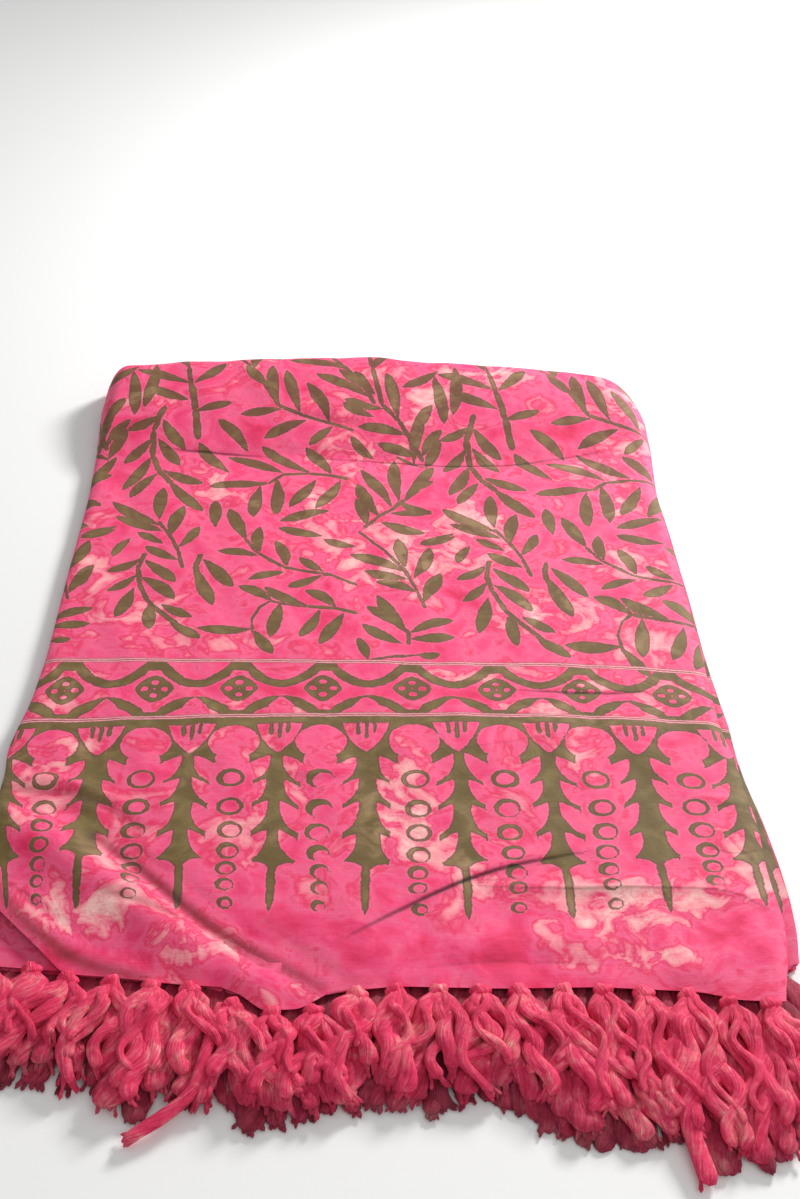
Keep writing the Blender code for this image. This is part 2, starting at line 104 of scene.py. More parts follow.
LOW_HEM = columns(
    "x y",
    (-0.290, -0.296), (-0.262, -0.300), (-0.214, -0.305), (-0.134, -0.315), (-0.101, -0.318),
    (-0.079, -0.331), (-0.054, -0.331), (-0.035, -0.321), (0.011, -0.318), (0.144, -0.321),
    (0.210, -0.325), (0.236, -0.330), (0.260, -0.326), (0.272, -0.310), (0.290, -0.302),
)
FAR = columns(
    "x y",
    (-0.290, 0.462), (-0.262, 0.473), (-0.206, 0.478), (-0.111, 0.479), (-0.006, 0.481),
    (0.057, 0.467), (0.171, 0.458), (0.231, 0.438), (0.262, 0.424), (0.280, 0.412),
)
# Folds and creases. rise is a rounded ridge above zero or a trough below it, with its half width;
# step lifts the far side of the line over the near one; mark is the strength of painted shade: a fine
# darkened line with a pressed-in bump along a thin crease, or a soft darkened band in a wide fold's hollow.
FOLDS = (
    ("name", "rise", "width", "step", "mark", "line"),
    ("front left ridge", 0.0095, 0.019, 0, 0,
     ((-0.290, -0.152), (-0.229, -0.206), (-0.181, -0.246), (-0.140, -0.280), (-0.085, -0.318))),
    ("front left trough", -0.0042, 0.009, 0, 0,
     ((-0.205, -0.186), (-0.163, -0.219), (-0.128, -0.252), (-0.098, -0.280), (-0.045, -0.318))),
    ("corner trough", -0.0030, 0.010, 0, 0,
     ((-0.270, -0.236), (-0.226, -0.270), (-0.189, -0.297), (-0.154, -0.312))),
    ("lifted corner", 0.0060, 0.020, 0, 0,
     ((-0.276, -0.250), (-0.240, -0.286), (-0.222, -0.302))),
    ("left pucker", 0.0032, 0.009, 0, 0, ((-0.287, -0.128), (-0.241, -0.134), (-0.190, -0.162))),
    ("left dip", -0.0028, 0.008, 0, 0, ((-0.287, -0.150), (-0.232, -0.158), (-0.196, -0.180))),
    ("middle pleat", 0.0022, 0.009, 0, 0,
     ((-0.012, -0.272), (0.038, -0.240), (0.096, -0.214), (0.146, -0.204))),
    ("right ridge", 0.0018, 0.010, 0, 0, ((0.070, -0.240), (0.175, -0.240), (0.266, -0.252))),
    ("hem wave", 0.0022, 0.013, 0, 0, ((0.010, -0.296), (0.090, -0.286), (0.190, -0.292))),
    ("right hem puff", 0.0026, 0.016, 0, 0, ((0.190, -0.318), (0.236, -0.308), (0.262, -0.290))),
    ("middle wave", 0.0016, 0.020, 0, 0, ((-0.060, -0.100), (0.060, -0.090), (0.250, -0.082))),
    ("roll crease", -0.0026, 0.010, 0, 0,
     ((-0.190, 0.322), (-0.080, 0.318), (0.100, 0.300), (0.215, 0.312))),
    ("far right tuck", -0.0035, 0.012, 0, 0, ((0.110, 0.448), (0.180, 0.436), (0.232, 0.414))),
    # Finer ones, placed one by one on the same cloth.
    ("long valley", -0.0046, 0.0085, 0, 0.95,
     ((-0.209, -0.185), (-0.168, -0.219), (-0.135, -0.254), (-0.105, -0.281), (-0.041, -0.322))),
    ("corner shade", -0.0040, 0.011, 0, 0.90,
     ((-0.272, -0.234), (-0.250, -0.262), (-0.227, -0.283), (-0.203, -0.300), (-0.160, -0.313))),
    ("hem hollow", -0.0030, 0.011, 0, 0.35, ((-0.080, -0.268), (-0.048, -0.293), (-0.012, -0.322))),
    ("middle pucker", 0.0017, 0.004, 0, 0, ((-0.072, -0.120), (-0.045, -0.127), (-0.018, -0.118))),
    ("left pucker's back", 0.0016, 0.004, 0, 0, ((-0.282, -0.122), (-0.240, -0.127), (-0.196, -0.150))),
    ("short crease", -0.0022, 0.0055, 0, 0.55,
     ((-0.198, -0.242), (-0.167, -0.253), (-0.137, -0.267))),
    ("corner ridge", 0.0010, 0.005, 0, 0.2, ((-0.269, -0.226), (-0.233, -0.252))),
    ("dark pleat", -0.0008, 0.003, 0.0011, 1.0,
     ((-0.020, -0.280), (0.013, -0.259), (0.038, -0.245), (0.062, -0.232), (0.096, -0.219),
      (0.143, -0.209))),
    ("fine ridge", 0.0012, 0.004, 0.0006, 0.45,
     ((0.073, -0.239), (0.120, -0.244), (0.175, -0.244), (0.246, -0.246), (0.268, -0.263))),
    ("faint line", 0.0004, 0.004, 0, 0.15,
     ((0.015, -0.108), (0.074, -0.100), (0.136, -0.086), (0.217, -0.079), (0.252, -0.087))),
    ("short dark crease", -0.0007, 0.0025, 0.0004, 0.7,
     ((0.114, -0.032), (0.157, -0.036), (0.192, -0.038), (0.215, -0.035))),
    ("far left crease", -0.0009, 0.003, 0.0005, 0.8, ((-0.205, 0.325), (-0.116, 0.316))),
    ("far long crease", -0.0008, 0.003, 0.0005, 0.7,
     ((-0.060, 0.312), (0.024, 0.303), (0.101, 0.296), (0.161, 0.302), (0.214, 0.314))),
    ("far left fold", 0.0018, 0.007, 0, 0.3, ((-0.250, 0.354), (-0.213, 0.370))),
    ("far middle fold", -0.0016, 0.007, 0, 0.3, ((-0.090, 0.371), (-0.021, 0.355))),
    ("left gather", -0.0034, 0.007, 0, 0.45,
     ((-0.287, -0.135), (-0.241, -0.140), (-0.210, -0.149), (-0.177, -0.180))),
    ("right edge crease", -0.0008, 0.004, 0, 0.3, ((0.236, -0.205), (0.258, -0.212), (0.276, -0.206))),
    ("right gather", 0.0012, 0.006, 0, 0, ((0.225, -0.150), (0.262, -0.160), (0.277, -0.158))),
    ("hem furrow", -0.0008, 0.005, 0, 0.2, ((0.030, -0.308), (0.085, -0.303), (0.150, -0.309))),
    ("left soft wave", 0.0009, 0.012, 0, 0, ((-0.270, 0.020), (-0.180, 0.046), (-0.080, 0.040))),
    ("far soft wave", 0.0010, 0.014, 0, 0, ((-0.120, 0.228), (0.020, 0.246), (0.150, 0.232))),
)
# Stations and shares of the width where the cloth is measured, closer where it turns over an edge.
TURN = 1 - np.cos(np.linspace(0, np.pi / 2, 27))
CLOTH_STATIONS = np.concatenate([
    Y_HEM + np.array([0.0, 0.0012, 0.0026, 0.0042, 0.006, 0.008, 0.0102]),
    np.linspace(-0.3124, 0.300, 236),
    np.linspace(0.3022, 0.4425, 64),
    Y_ROLL - 0.026 * TURN[::-1],
])
CLOTH_COLUMNS = np.concatenate([
    X_FOLD + 0.011 * (1 - np.cos(np.linspace(0, np.pi / 2, 13))),
    np.linspace(X_FOLD + 0.0133, X_OPEN - 0.0143, 226),
    X_OPEN - 0.012 * (1 - np.cos(np.linspace(0, np.pi / 2, 11)))[::-1],
])


def along(rows, name, at, reach=0.0):
    """A column of a table at values of its first one, averaged over `reach` to each side."""
    keys = rows[next(iter(rows))]
    return np.mean([np.interp(at + step, keys, rows[name]) for step in np.linspace(-reach, reach, 7)], axis=0)


def curved(line):
    """A line as a smooth curve between the same ends: each corner is cut at a quarter, twice over."""
    line = np.array(line, float)
    for _ in range(2):
        cuts = np.stack([0.75 * line[:-1] + 0.25 * line[1:], 0.25 * line[:-1] + 0.75 * line[1:]], axis=1)
        line = np.concatenate([line[:1], cuts.reshape(-1, 2), line[-1:]])
    return line


def away(x, y, line):
    """Distance of points from a curved line, positive on its left, and the share of it at the nearest place."""
    line = curved(line)
    run = np.insert(np.cumsum(np.hypot(*np.diff(line, axis=0).T)), 0, 0)
    best, where, side = np.full(x.shape, 1e9), np.zeros(x.shape), np.ones(x.shape)
    for k in range(len(line) - 1):
        (ax, ay), (bx, by) = line[k], line[k + 1]
        dx, dy = bx - ax, by - ay
        t = np.clip(((x - ax) * dx + (y - ay) * dy) / (dx * dx + dy * dy), 0, 1)
        far = np.hypot(x - ax - t * dx, y - ay - t * dy)
        nearer = far < best
        where = np.where(nearer, (run[k] + t * (run[k + 1] - run[k])) / run[-1], where)
        side = np.where(nearer, np.where(dx * (y - ay) - dy * (x - ax) >= 0, 1.0, -1.0), side)
        best = np.minimum(far, best)
    return best * side, where


def plan(s, u, left, right, hem):
    """Where station s and share u lie from above: between the sides, and bent to the hem and far fold."""
    x_left = along(EDGES, left, s, 0.012)
    x = x_left + u * (along(EDGES, right, s, 0.012) - x_left)
    near = np.clip(1 - (s - Y_HEM) / HEM_NEAR, 0, 1) ** 1.5
    far = np.clip(1 - (Y_ROLL - s) / ROLL_NEAR, 0, 1) ** 1.5
    return x, s + near * (along(hem, "y", x, 0.004) - Y_HEM) + far * (along(FAR, "y", x, 0.012) - Y_ROLL)


def rounded(distance, width, power):
    """0 at an edge and 1 from `width` on: an ellipse at power 2, a soft droop at power 1."""
    return (1 - (1 - np.clip(distance / width, 0, 1)) ** 2) ** (1 / power)


def fade(where):
    """A fold's strength along its line: a sine that is low at both ends."""
    return np.sin(math.pi * (0.12 + 0.76 * where))


def top_surface(s, u, folds):
    """The top of the cloth: its height along the stack, plus folds, times the roundings at its four edges."""
    x, y = plan(s, u, "left", "right", HEM)
    roll = np.clip((s - 0.306) / 0.10, 0, 1)
    height = along(HEIGHTS, "height", s, 0.010)
    height = height + (height - 0.013) * roll * (along(ROLL_SHARE, "share", x, 0.02) - 1)
    height = height + 0.0005 * np.sin(31 * x + 2) * np.sin(23 * y + 1)
    for _, rise, width, step, _, line in folds:
        far, where = away(x, y, line)
        height = height + rise * np.exp(-((far / width) ** 2)) * fade(where)
        if step:
            height = height + step * np.tanh(far / 0.0015) * np.exp(-((far / 0.010) ** 2)) * fade(where)
    if folds:
        # Slight unevenness of cloth that was folded by hand, and the pull of each knot at the hem.
        height = height + 0.00060 * np.sin(95 * x + 41 * y + 1.3) * np.sin(17 * y + 0.4)
        height = height + 0.00034 * np.sin(118 * y - 63 * x + 0.4) * np.sin(11 * x + 9 * y + 2)
        height = height + 0.00016 * np.sin(212 * x + 96 * y)
        pull = np.cos(2 * math.pi * (x - FIRST_KNOT) / KNOT_PITCH) * np.exp(-(s - Y_HEM) / 0.011)
        height = height + 0.0009 * pull
    foot = along(EDGES, "foot_left", s) * (1 - u) + along(EDGES, "foot_right", s) * u
    lift, _ = away(x, y, ((-0.270, -0.256), (-0.236, -0.288)))
    foot = foot + 0.0045 * np.exp(-((lift / 0.022) ** 2))
    # Troughs level out softly where they reach the layers below.
    low = foot + 0.0008
    height = low + 0.0004 * np.logaddexp(0, (height - low) / 0.0004)
    across = u * (X_OPEN - X_FOLD)
    side = rounded(across, 0.011 + 0.010 * roll, 2)
    open_side = rounded(X_OPEN - X_FOLD - across, 0.012 + 0.026 * roll, 1 + roll)
    z = foot + (height - foot) * side * open_side * rounded(s - Y_HEM, 0.014, 1) * rounded(Y_ROLL - s, 0.026, 2)
    return np.stack([x, y, z], axis=-1)


def turned_under(grid, axis, radius, reach):
    """The grid with its first rows (axis 0) or columns (axis 1) continued down a small bend and back inwards."""
    edge = np.take(grid, 0, axis=axis)
    inner = np.take(grid, INSIDE, axis=axis) - edge
    inner[..., 2] = 0
    inner = inner / np.linalg.norm(inner, axis=-1, keepdims=True)
    turns = []
    for angle in (22.5, 45, 67.5, 90):
        a = math.radians(angle)
        turns.append(edge + inner * radius * (1 - math.cos(a)) - np.array([0, 0, radius * math.sin(a)]))
    for run in (0.35, 1.0):
        turns.append(turns[3] + inner * reach * run)
    return np.concatenate([np.stack(turns[::-1], axis=axis), grid], axis=axis)


def arc(grid, axis):
    """Length along a grid's rows or columns, from its first place, in millimetres."""
    steps = np.linalg.norm(np.diff(grid, axis=axis), axis=-1)
    return 1000 * np.cumsum(np.insert(steps, 0, 0, axis=axis), axis=axis)


def cloth_places(grid, columns_at):
    """U and V of a grid, in millimetres: arc length from its middle column, and from the station at y 0."""
    across, up = arc(grid, 1), arc(grid, 0)
    middle = int(np.argmin(abs(columns_at)))
    level = int(np.argmin(abs(grid[:, middle, 1])))
    u_at = across - across[:, middle : middle + 1] + 1000 * grid[:, middle : middle + 1, 0]
    v_at = up - up[level : level + 1] + 1000 * grid[level : level + 1, :, 1]
    return np.stack([u_at, v_at], axis=-1)


# The stamped print
# Each shape is one oval, leaf, lozenge or straight stem, added to the olive or taken out of it. Every
# face of the cloth keeps its place in the shape whose outline runs nearest, so that outlines stay sharp.

PITCH = 69.75  # of the lozenges, in millimetres
FIRST = 25.3  # U of the one nearest the middle
SHAPE_KINDS = {  # powers of the sideways and lengthways places, power of their sum, and taper to the base
    "sprig leaf": (1.22, 2.1, 0.95, 1.3),
    "lobe": (1.15, 2.0, 1.0, 0.8),
    "spine": (1, 5, 1, 1),
    "stem": (1, 10, 1, 1),
    "oval": (2, 2, 0.5, 1),
    "lozenge": (1, 1, 1, 1),
    "flower": (1.4, 1.4, 0.8, 1),
}
# The stamped rows bow across the cloth: y of the band's two lines and of the spires' tips, by U.
BOW = columns(
    "u top bottom tips",
    (-285, 11.5, -62.5, -250), (-200, 11.0, -60, -251), (-115, 9.6, -58.4, -254), (-74, 8, -58.2, -258),
    (24, 3.3, -58.9, -263.5), (149, -1.5, -63.4, -262.5), (205, -7, -68, -258), (275, -14.5, -75.5, -257),
)
# One sprig a row: half its stem's width, the line of its stem, and its leaves, each from base to tip.
SPRIGS = (
    (3.4, ((-177, 338), (-182, 378), (-188, 414)), ((-184, 376, -146, 388),)),
    (2.4, ((-188, 410), (-194, 446), (-206, 492)),
     ((-191, 420, -247, 446), (-188, 392, -236, 417), (-187, 418, -156, 455), (-197, 450, -214, 478))),
    (3.0, ((-213, 384), (-222, 350), (-220, 314), (-211, 290), (-198, 270)),
     ((-217, 369, -248, 350), (-222, 340, -247, 304), (-221, 316, -243, 261), (-213, 286, -235, 248),
      (-214, 366, -189, 325), (-217, 340, -193, 302), (-209, 294, -168, 270), (-201, 276, -164, 225))),
    (1.6, ((-291, 330), (-263, 311)), ((-264, 311, -249, 352), (-275, 320, -264, 390))),
    (1.7, ((-175, 137), (-181, 163), (-191, 187), (-203, 208)),
     ((-201, 203, -250, 240), (-198, 194, -244, 217), (-196, 174, -221, 193), (-181, 150, -212, 171),
      (-203, 210, -204, 262), (-191, 184, -182, 231), (-182, 168, -165, 200))),
    (2.2, ((-211, 159), (-215, 138), (-211, 116), (-202, 93), (-191, 78), (-171, 56)),
     ((-213, 153, -242, 133), (-215, 129, -238, 104), (-215, 110, -226, 67), (-197, 92, -195, 50),
      (-210, 150, -179, 116), (-210, 125, -178, 92), (-189, 86, -161, 67), (-179, 62, -151, 38))),
    (2.4, ((-160, 157), (-163, 140), (-161, 126)), ((-162, 136, -144, 84), (-158, 150, -128, 108))),
    (2.0, ((-24, 347), (-45, 358), (-74, 369), (-98, 382), (-114, 414), (-134, 452), (-158, 488)),
     ((-95, 377, -136, 371), (-77, 373, -92, 438), (-47, 361, -70, 416), (-99, 384, -107, 446),
      (-110, 410, -134, 446), (-69, 362, -112, 338), (-43, 354, -67, 329), (-126, 440, -124, 478))),
    (2.6, ((-2, 384), (-16, 420), (-36, 446), (-54, 476)),
     ((-4, 391, -62, 430), (-26, 438, -90, 458), (-2, 396, -22, 436), (-2, 364, -34, 386))),
    (2.0, ((-29, 274), (-45, 281), (-66, 285), (-91, 283), (-104, 270)),
     ((-64, 286, -114, 329), (-44, 284, -70, 326), (-90, 285, -146, 315), (-102, 270, -161, 265),
      (-112, 266, -116, 212), (-97, 278, -95, 217), (-59, 274, -83, 229), (-35, 273, -58, 226))),
    (1.6, ((-19, 110), (-41, 124), (-62, 129), (-84, 136), (-109, 158), (-122, 181)),
     ((-120, 178, -139, 227), (-107, 157, -109, 197), (-82, 136, -93, 175), (-108, 153, -145, 162),
      (-82, 129, -115, 118), (-48, 129, -71, 151), (-50, 124, -80, 109))),
    (1.7, ((-19, 71), (-37, 78), (-62, 81), (-80, 84), (-95, 89)),
     ((-92, 88, -123, 109), (-62, 82, -100, 107), (-36, 78, -64, 104), (-85, 85, -92, 41),
      (-51, 76, -67, 41), (-30, 72, -50, 33))),
    (1.2, ((-94, 88), (-103, 80), (-109, 64), (-107, 46)), ((-107, 52, -154, 52), (-107, 50, -89, 19))),
    (2.4, ((45, 307), (32, 337), (23, 358), (6, 382), (-4, 440), (-10, 490)),
     ((22, 360, 11, 430), (8, 376, -32, 390), (30, 340, -19, 352), (37, 338, 56, 380), (44, 311, 65, 347),
      (41, 312, 0, 330), (-1, 398, -38, 438), (-4, 436, 16, 470))),
    (2.0, ((-12, 197), (1, 212), (14, 224), (25, 238)),
     ((23, 233, 55, 297), (21, 236, 17, 307), (13, 228, -15, 288), (1, 213, -19, 265), (-10, 200, -20, 240),
      (12, 217, 50, 220), (2, 205, 43, 185))),
    (1.6, ((40, 78), (33, 102), (24, 130), (6, 160), (-17, 189)),
     ((25, 128, -25, 155), (28, 117, -12, 131), (34, 97, -1, 115), (24, 134, 18, 177), (31, 118, 47, 162),
      (39, 84, 56, 125))),
    (1.8, ((25, 34), (25, 48), (14, 64)),
     ((25, 46, -1, 95), (19, 54, -10, 81), (27, 48, 63, 63), (27, 40, 64, 42), (20, 34, -14, 56))),
    (1.2, ((-9, 12), (13, 18), (34, 21)), ((-9, 13, -18, 40), (32, 21, 51, 22))),
)
# Single leaves, from base to tip.
LOOSE_LEAVES = (
    (-252, 446, -243, 372), (-246, 452, -284, 424), (-127, 322, -158, 364), (-143, 288, -176, 333),
    (-150, 198, -153, 241), (-45, 223, -90, 208), (-50, 183, -92, 197), (-3, 310, -25, 338),
    (-279, 266, -257, 287), (-292, 255, -260, 234), (-240, 197, -273, 186), (-226, 184, -240, 156),
    (-256, 142, -266, 112), (82, 442, 77, 366), (70, 184, 38, 170), (81, 164, 71, 146), (-19, 167, -50, 178),
)
# Rings of a plant body, V and radius, and the columns of the border whose rings differ.
RINGS_AT = ((-130, 10.6), (-160, 9.8), (-184, 9.2), (-205, 8.4), (-222, 7.2), (-237, 6.4), (-254, 5.4))
SHORT_COLUMN, SHORT_RINGS, WORN_COLUMN = 3, 6, -1
BLOCK_STEP = (311, -18)  # from one stamped block of sprigs to the next, across
BLOCK_UP = (-6, 240)  # and up the cloth, for what goes over the far fold


def shape(kind, start, tip, half, sign=1, bow=0.0):
    """One stamped shape: its kind, ends, half width, 1 to add or -1 to cut away, and bow sideways."""
    side_power, long_power, sum_power, taper = SHAPE_KINDS[kind]
    return (*start, *tip, half, bow, taper, side_power, long_power, sum_power, sign)


def oval(x, y, wide, tall, sign=1):
    """An oval by its centre and its half width and half height."""
    return shape("oval", (x, y - tall), (x, y + tall), wide, sign)


def leaf(x0, y0, x1, y1, shift):
    """A leaf from base to tip, blunt at the tip, a little bowed, its half width growing with its length."""
    half = min(max(0.105 * math.hypot(x1 - x0, y1 - y0) + 1.4, 4.0), 6.4)
    start, tip = (x0 + shift[0], y0 + shift[1]), (x1 + shift[0], y1 + shift[1])
    return shape("sprig leaf", start, tip, half, 1, 2.6 * math.sin(x0 + y1))


def leaf_field():
    """The sprigs and single leaves of the stamped block, repeated across the cloth and up it."""
    found = []
    for i, j in ((0, 0), (1, 0), (-1, 0), (-2, 0), (0, 1), (1, 1), (-1, 1), (0, 2), (1, 2), (-1, 2)):
        shift = np.array([i * BLOCK_STEP[0] + j * BLOCK_UP[0], i * BLOCK_STEP[1] + j * BLOCK_UP[1]], float)
        for stem_half, stem, leaves in SPRIGS:
            if j and min(y for _, y in stem) + shift[1] < 492:  # the repeat above starts where this block ends
                continue
            line = np.array(stem, float) + shift
            for a, b in zip(line, line[1:]):  # each stretch runs a little past its ends, so that none shows a gap
                past = (b - a) / np.linalg.norm(b - a) * 1.6
                found.append(shape("stem", a - past, b + past, stem_half))
            found += [leaf(*ends, shift) for ends in leaves]
        found += [leaf(*ends, shift) for ends in LOOSE_LEAVES if not j or ends[1] + shift[1] > 500]
    return found


def border_column(k):
    """One lozenge, its plant body of rings, and the spire and the cut triangle to its right."""
    x = FIRST + k * PITCH + 1.6 * math.sin(2.1 * k + 1)
    mid = FIRST + (k + 0.5) * PITCH + 1.2 * math.sin(1.7 * k)
    found = [shape("lozenge", (x, -51.5), (x, -1.5), 22, -1), shape("flower", (x, -40.5), (x, -8), 15.5)]
    for dx, dy in ((0, 7.6), (0, -7.6), (8.2, 0), (-8.2, 0)):
        found.append(oval(x + dx, -24.3 + dy, 3.3, 2.9, -1))
    found.append(oval(x, -24.3, 1.1, 1.1, -1))
    # The olive ground is cut by the body's round head and neck, and by the comb between two heads.
    found += [shape("stem", (mid, -100), (mid, -226), 17.4), oval(x, -89, 20, 19.3, -1)]
    found += [oval(x, -110, 13.5, 14, -1), shape("flower", (mid, -101), (mid, -35), 18.5, -1)]
    found.append(shape("stem", (mid - 24, -63.5), (mid + 24, -63.5), 4.2))
    for dx, low in ((-7, -81), (0.5, -86), (7.5, -80)):
        found.append(shape("stem", (mid + dx, -62), (mid + dx * 0.85, low), 1.5))
    # Lobes of the body reach up and out, and leave the spire's thin barbs, which hook down and out.
    for n, (y, drop, half) in enumerate(((-104, 31, 8.4), (-129, 30, 7.8), (-154, 34, 8.8), (-184, 32, 8.2))):
        for side in (-1, 1):
            wobble = 1.6 * math.sin(2.3 * k + 1.9 * n + side)
            ends = (x + 3 * side, y - drop), (x + (28.6 + wobble) * side, y + wobble)
            found.append(shape("lobe", *ends, half, -1, -2.2 * side))
    found.append(oval(x, -208, 12, 26, -1))
    for side in (-1, 1):
        found.append(oval(mid + 13.4 * side, -224.5 + 1.5 * math.sin(4 * k + side), 11.6, 10.5, -1))
    found.append(shape("spine", (mid, -196), (mid + 1.5 * math.sin(k), -263 - 3 * math.sin(k)), 3.0))
    for n, (y, r) in enumerate(RINGS_AT[:SHORT_RINGS] if k == SHORT_COLUMN else RINGS_AT):
        dx = 1.2 * math.sin(3.3 * k + n)
        found.append(oval(x + dx, y, r, r * 0.92))
        # Each ring is thicker on one side, and one column's are worn to crescents.
        thick, inner, drop = 0.05 + 0.03 * n + 0.08 * math.sin(5.1 * k + 2.3 * n), 0.72, 0.7
        inner += 0.05 * math.sin(3.7 * k + 4.1 * n)
        if k == WORN_COLUMN:
            thick, inner, drop = 0.30 + 0.1 * math.sin(2.3 * n), 0.84, 1
        found.append(oval(x + dx + thick * r, y - thick * r * drop, r * inner, r * inner * 0.92, -1))
    return found


def wave(u_at, v_at, upper):
    """Places above the middle of an olive wave, in its half thicknesses, and that half thickness.

    The upper wave hangs between the flowers and the lower one arches, each a power of the distance
    from the midpoint; distances are measured square to the wave, so its thickness stays even.
    """
    apart = PITCH / 2 - abs((u_at - FIRST + PITCH / 2) % PITCH - PITCH / 2)
    lift = np.minimum(apart / 29, 1) ** 1.9
    slope = np.where(apart < 29, 1.9 * 20 / 29 * (apart / 29) ** 0.9, 0)
    middle = -18.3 + 22 * lift if upper else -39 - 16.5 * lift
    half = 4.5 + 0.8 * lift if upper else 5.2 - 1.2 * lift
    return (v_at - middle) / np.hypot(1, slope) / half, half


def place_in(one, u_at, v_at):
    """Where cloth places lie in a shape: -1 to 1 from base to tip, and sideways in half widths.

    A taper above 1 thins the base, as the share along is raised to that power.
    """
    x0, y0, x1, y1, half, bow, taper = one[:7]
    length = math.hypot(x1 - x0, y1 - y0)
    dx, dy = (x1 - x0) / length, (y1 - y0) / length
    share = ((u_at - x0) * dx + (v_at - y0) * dy) / length
    room = np.clip(4 * share * (1 - share), 0, 1)
    sideways = (-(u_at - x0) * dy + (v_at - y0) * dx - bow * room) / half
    return np.where(share > 0, 2 * np.abs(share) ** taper, 4 * share) - 1, sideways


def reach_of(one, lengthways, sideways):
    """Rough distance outside a shape, in millimetres, negative inside it."""
    half, (side_power, long_power, sum_power) = one[4], one[7:10]
    total = abs(sideways) ** side_power + np.minimum(abs(lengthways), 3) ** long_power
    return (total**sum_power - 1) * half


def print_on(cloth, face_of, faces):
    """Each corner's place in its face's ruling shape, and that shape's powers.

    Shapes are taken in turn. An added one rules where it reaches less far outside, and a cut one
    where its inside lies deeper than what is there.
    """
    middle = np.stack([np.bincount(face_of, cloth[:, k], faces) for k in (0, 1)], axis=1)
    middle /= np.bincount(face_of, minlength=faces)[:, None]
    u_at, v_at = middle.T
    best = np.full(faces, 60.0)
    ruler = np.full(faces, -1)
    ground = [shape("stem", (-420, -86), (420, -86), 26.5)]
    borders = [one for k in range(-5, 5) for one in border_column(k)]
    waves = [("upper",), ("lower",)]
    shapes = waves + ground + borders + leaf_field()
    for n, one in enumerate(shapes):
        if n < 2:
            sideways, half = wave(u_at, v_at, n == 0)
            here, apart_here, sign = np.arange(faces), (abs(sideways) - 1) * half, 1
        else:
            x0, y0, x1, y1, half = one[:5]
            near = 10 + half + abs(one[5])
            here = np.flatnonzero(
                (u_at > min(x0, x1) - near) & (u_at < max(x0, x1) + near)
                & (v_at > min(y0, y1) - near) & (v_at < max(y0, y1) + near)
            )
            apart_here, sign = reach_of(one, *place_in(one, u_at[here], v_at[here])), one[10]
        won = apart_here < best[here] if sign > 0 else -apart_here > best[here]
        best[here[won]] = apart_here[won] * sign
        ruler[here[won]] = n
    place = np.tile(np.array([0.0, 5.0, 6.0]), (len(face_of), 1))
    form = np.tile(np.array([1.0, 2.0, 1.0]), (len(face_of), 1))
    order = np.argsort(ruler[face_of], kind="stable")
    starts = np.searchsorted(ruler[face_of][order], np.arange(len(shapes) + 1))
    for n, one in enumerate(shapes):
        at = order[starts[n] : starts[n + 1]]
        if n < 2:
            place[at, 1], place[at, 2] = wave(cloth[at, 0], cloth[at, 1], n == 0)
            continue
        place[at, 0], place[at, 1] = place_in(one, cloth[at, 0], cloth[at, 1])
        place[at, 2] = one[4] * one[10]
        form[at] = one[7:10]
    return place, form


# Pale marbling, where the wax was lifted early, and deep rose, where dye pooled, except the deep patch at (-205, -300)
# by the front-left hem, which is painted shade: place, size, strength.
PALE = (
    (115, 430, 40, 22, 0.8), (245, 400, 26, 32, 0.7), (-18, 312, 28, 26, 0.7), (-155, 270, 18, 30, 0.8),
    (40, 385, 60, 46, 0.55), (-120, 452, 60, 14, 0.4), (25, 150, 66, 52, 0.95), (-20, 205, 30, 30, 0.5),
    (140, 68, 62, 24, 0.75), (232, 132, 42, 28, 0.5), (-190, 62, 48, 22, 0.5), (-262, 150, 20, 44, 0.4),
    (140, 226, 30, 22, 0.5), (190, 285, 44, 18, 0.45), (-270, -122, 26, 18, 0.9), (-236, -92, 18, 12, 0.7),
    (-150, -96, 16, 10, 0.5), (-45, -120, 24, 26, 0.55), (18, -165, 32, 62, 0.8), (62, -218, 24, 30, 0.6),
    (150, -112, 20, 24, 0.5), (172, -262, 58, 28, 0.95), (185, -306, 52, 10, 0.8), (-214, -268, 52, 24, 0.9),
    (-135, -296, 56, 16, 0.85), (-70, -325, 26, 12, 0.6), (-196, -216, 26, 12, 0.4), (262, -230, 18, 34, 0.6),
    (-98, -160, 18, 60, 0.35), (225, -24, 70, 26, 0.5), (285, -150, 16, 40, 0.6), (-100, 30, 90, 12, 0.25),
    (62, -6, 24, 9, 0.6), (-112, -46, 46, 11, 0.5), (128, -48, 36, 10, 0.55), (-250, -20, 30, 20, 0.5),
    (205, 40, 50, 20, 0.5), (-60, 230, 26, 36, 0.5), (95, 215, 34, 26, 0.6), (230, 225, 26, 22, 0.5),
    (-230, 395, 26, 20, 0.5), (130, -285, 30, 14, 0.4), (250, 330, 30, 50, 0.5), (-260, -175, 22, 22, 0.4),
)
DEEP = (
    (40, -288, 110, 20, 0.45), (244, -284, 30, 28, 0.6), (90, -27, 170, 11, 0.6), (-160, -27, 120, 11, 0.35),
    (190, 345, 62, 16, 0.6), (140, -140, 16, 34, 0.5), (-60, 60, 60, 20, 0.3), (-40, 90, 30, 40, 0.4),
    (80, 110, 26, 40, 0.5), (-205, -300, 60, 14, 0.5), (-240, 290, 30, 26, 0.4), (-100, 350, 40, 20, 0.3),
    (60, 260, 40, 22, 0.45), (20, -228, 20, 30, 0.4), (-260, -210, 20, 26, 0.4),
)


def patches(table, cloth):
    """How far cloth places lie in soft oval patches, 0 to 1: the largest of their bell curves."""
    best = np.zeros(len(cloth))
    for x, y, wide, tall, strength in table:
        away2 = ((cloth[:, 0] - x) / wide) ** 2 + ((cloth[:, 1] - y) / tall) ** 2
        best = np.maximum(best, strength * np.exp(-0.8 * away2))
    return best


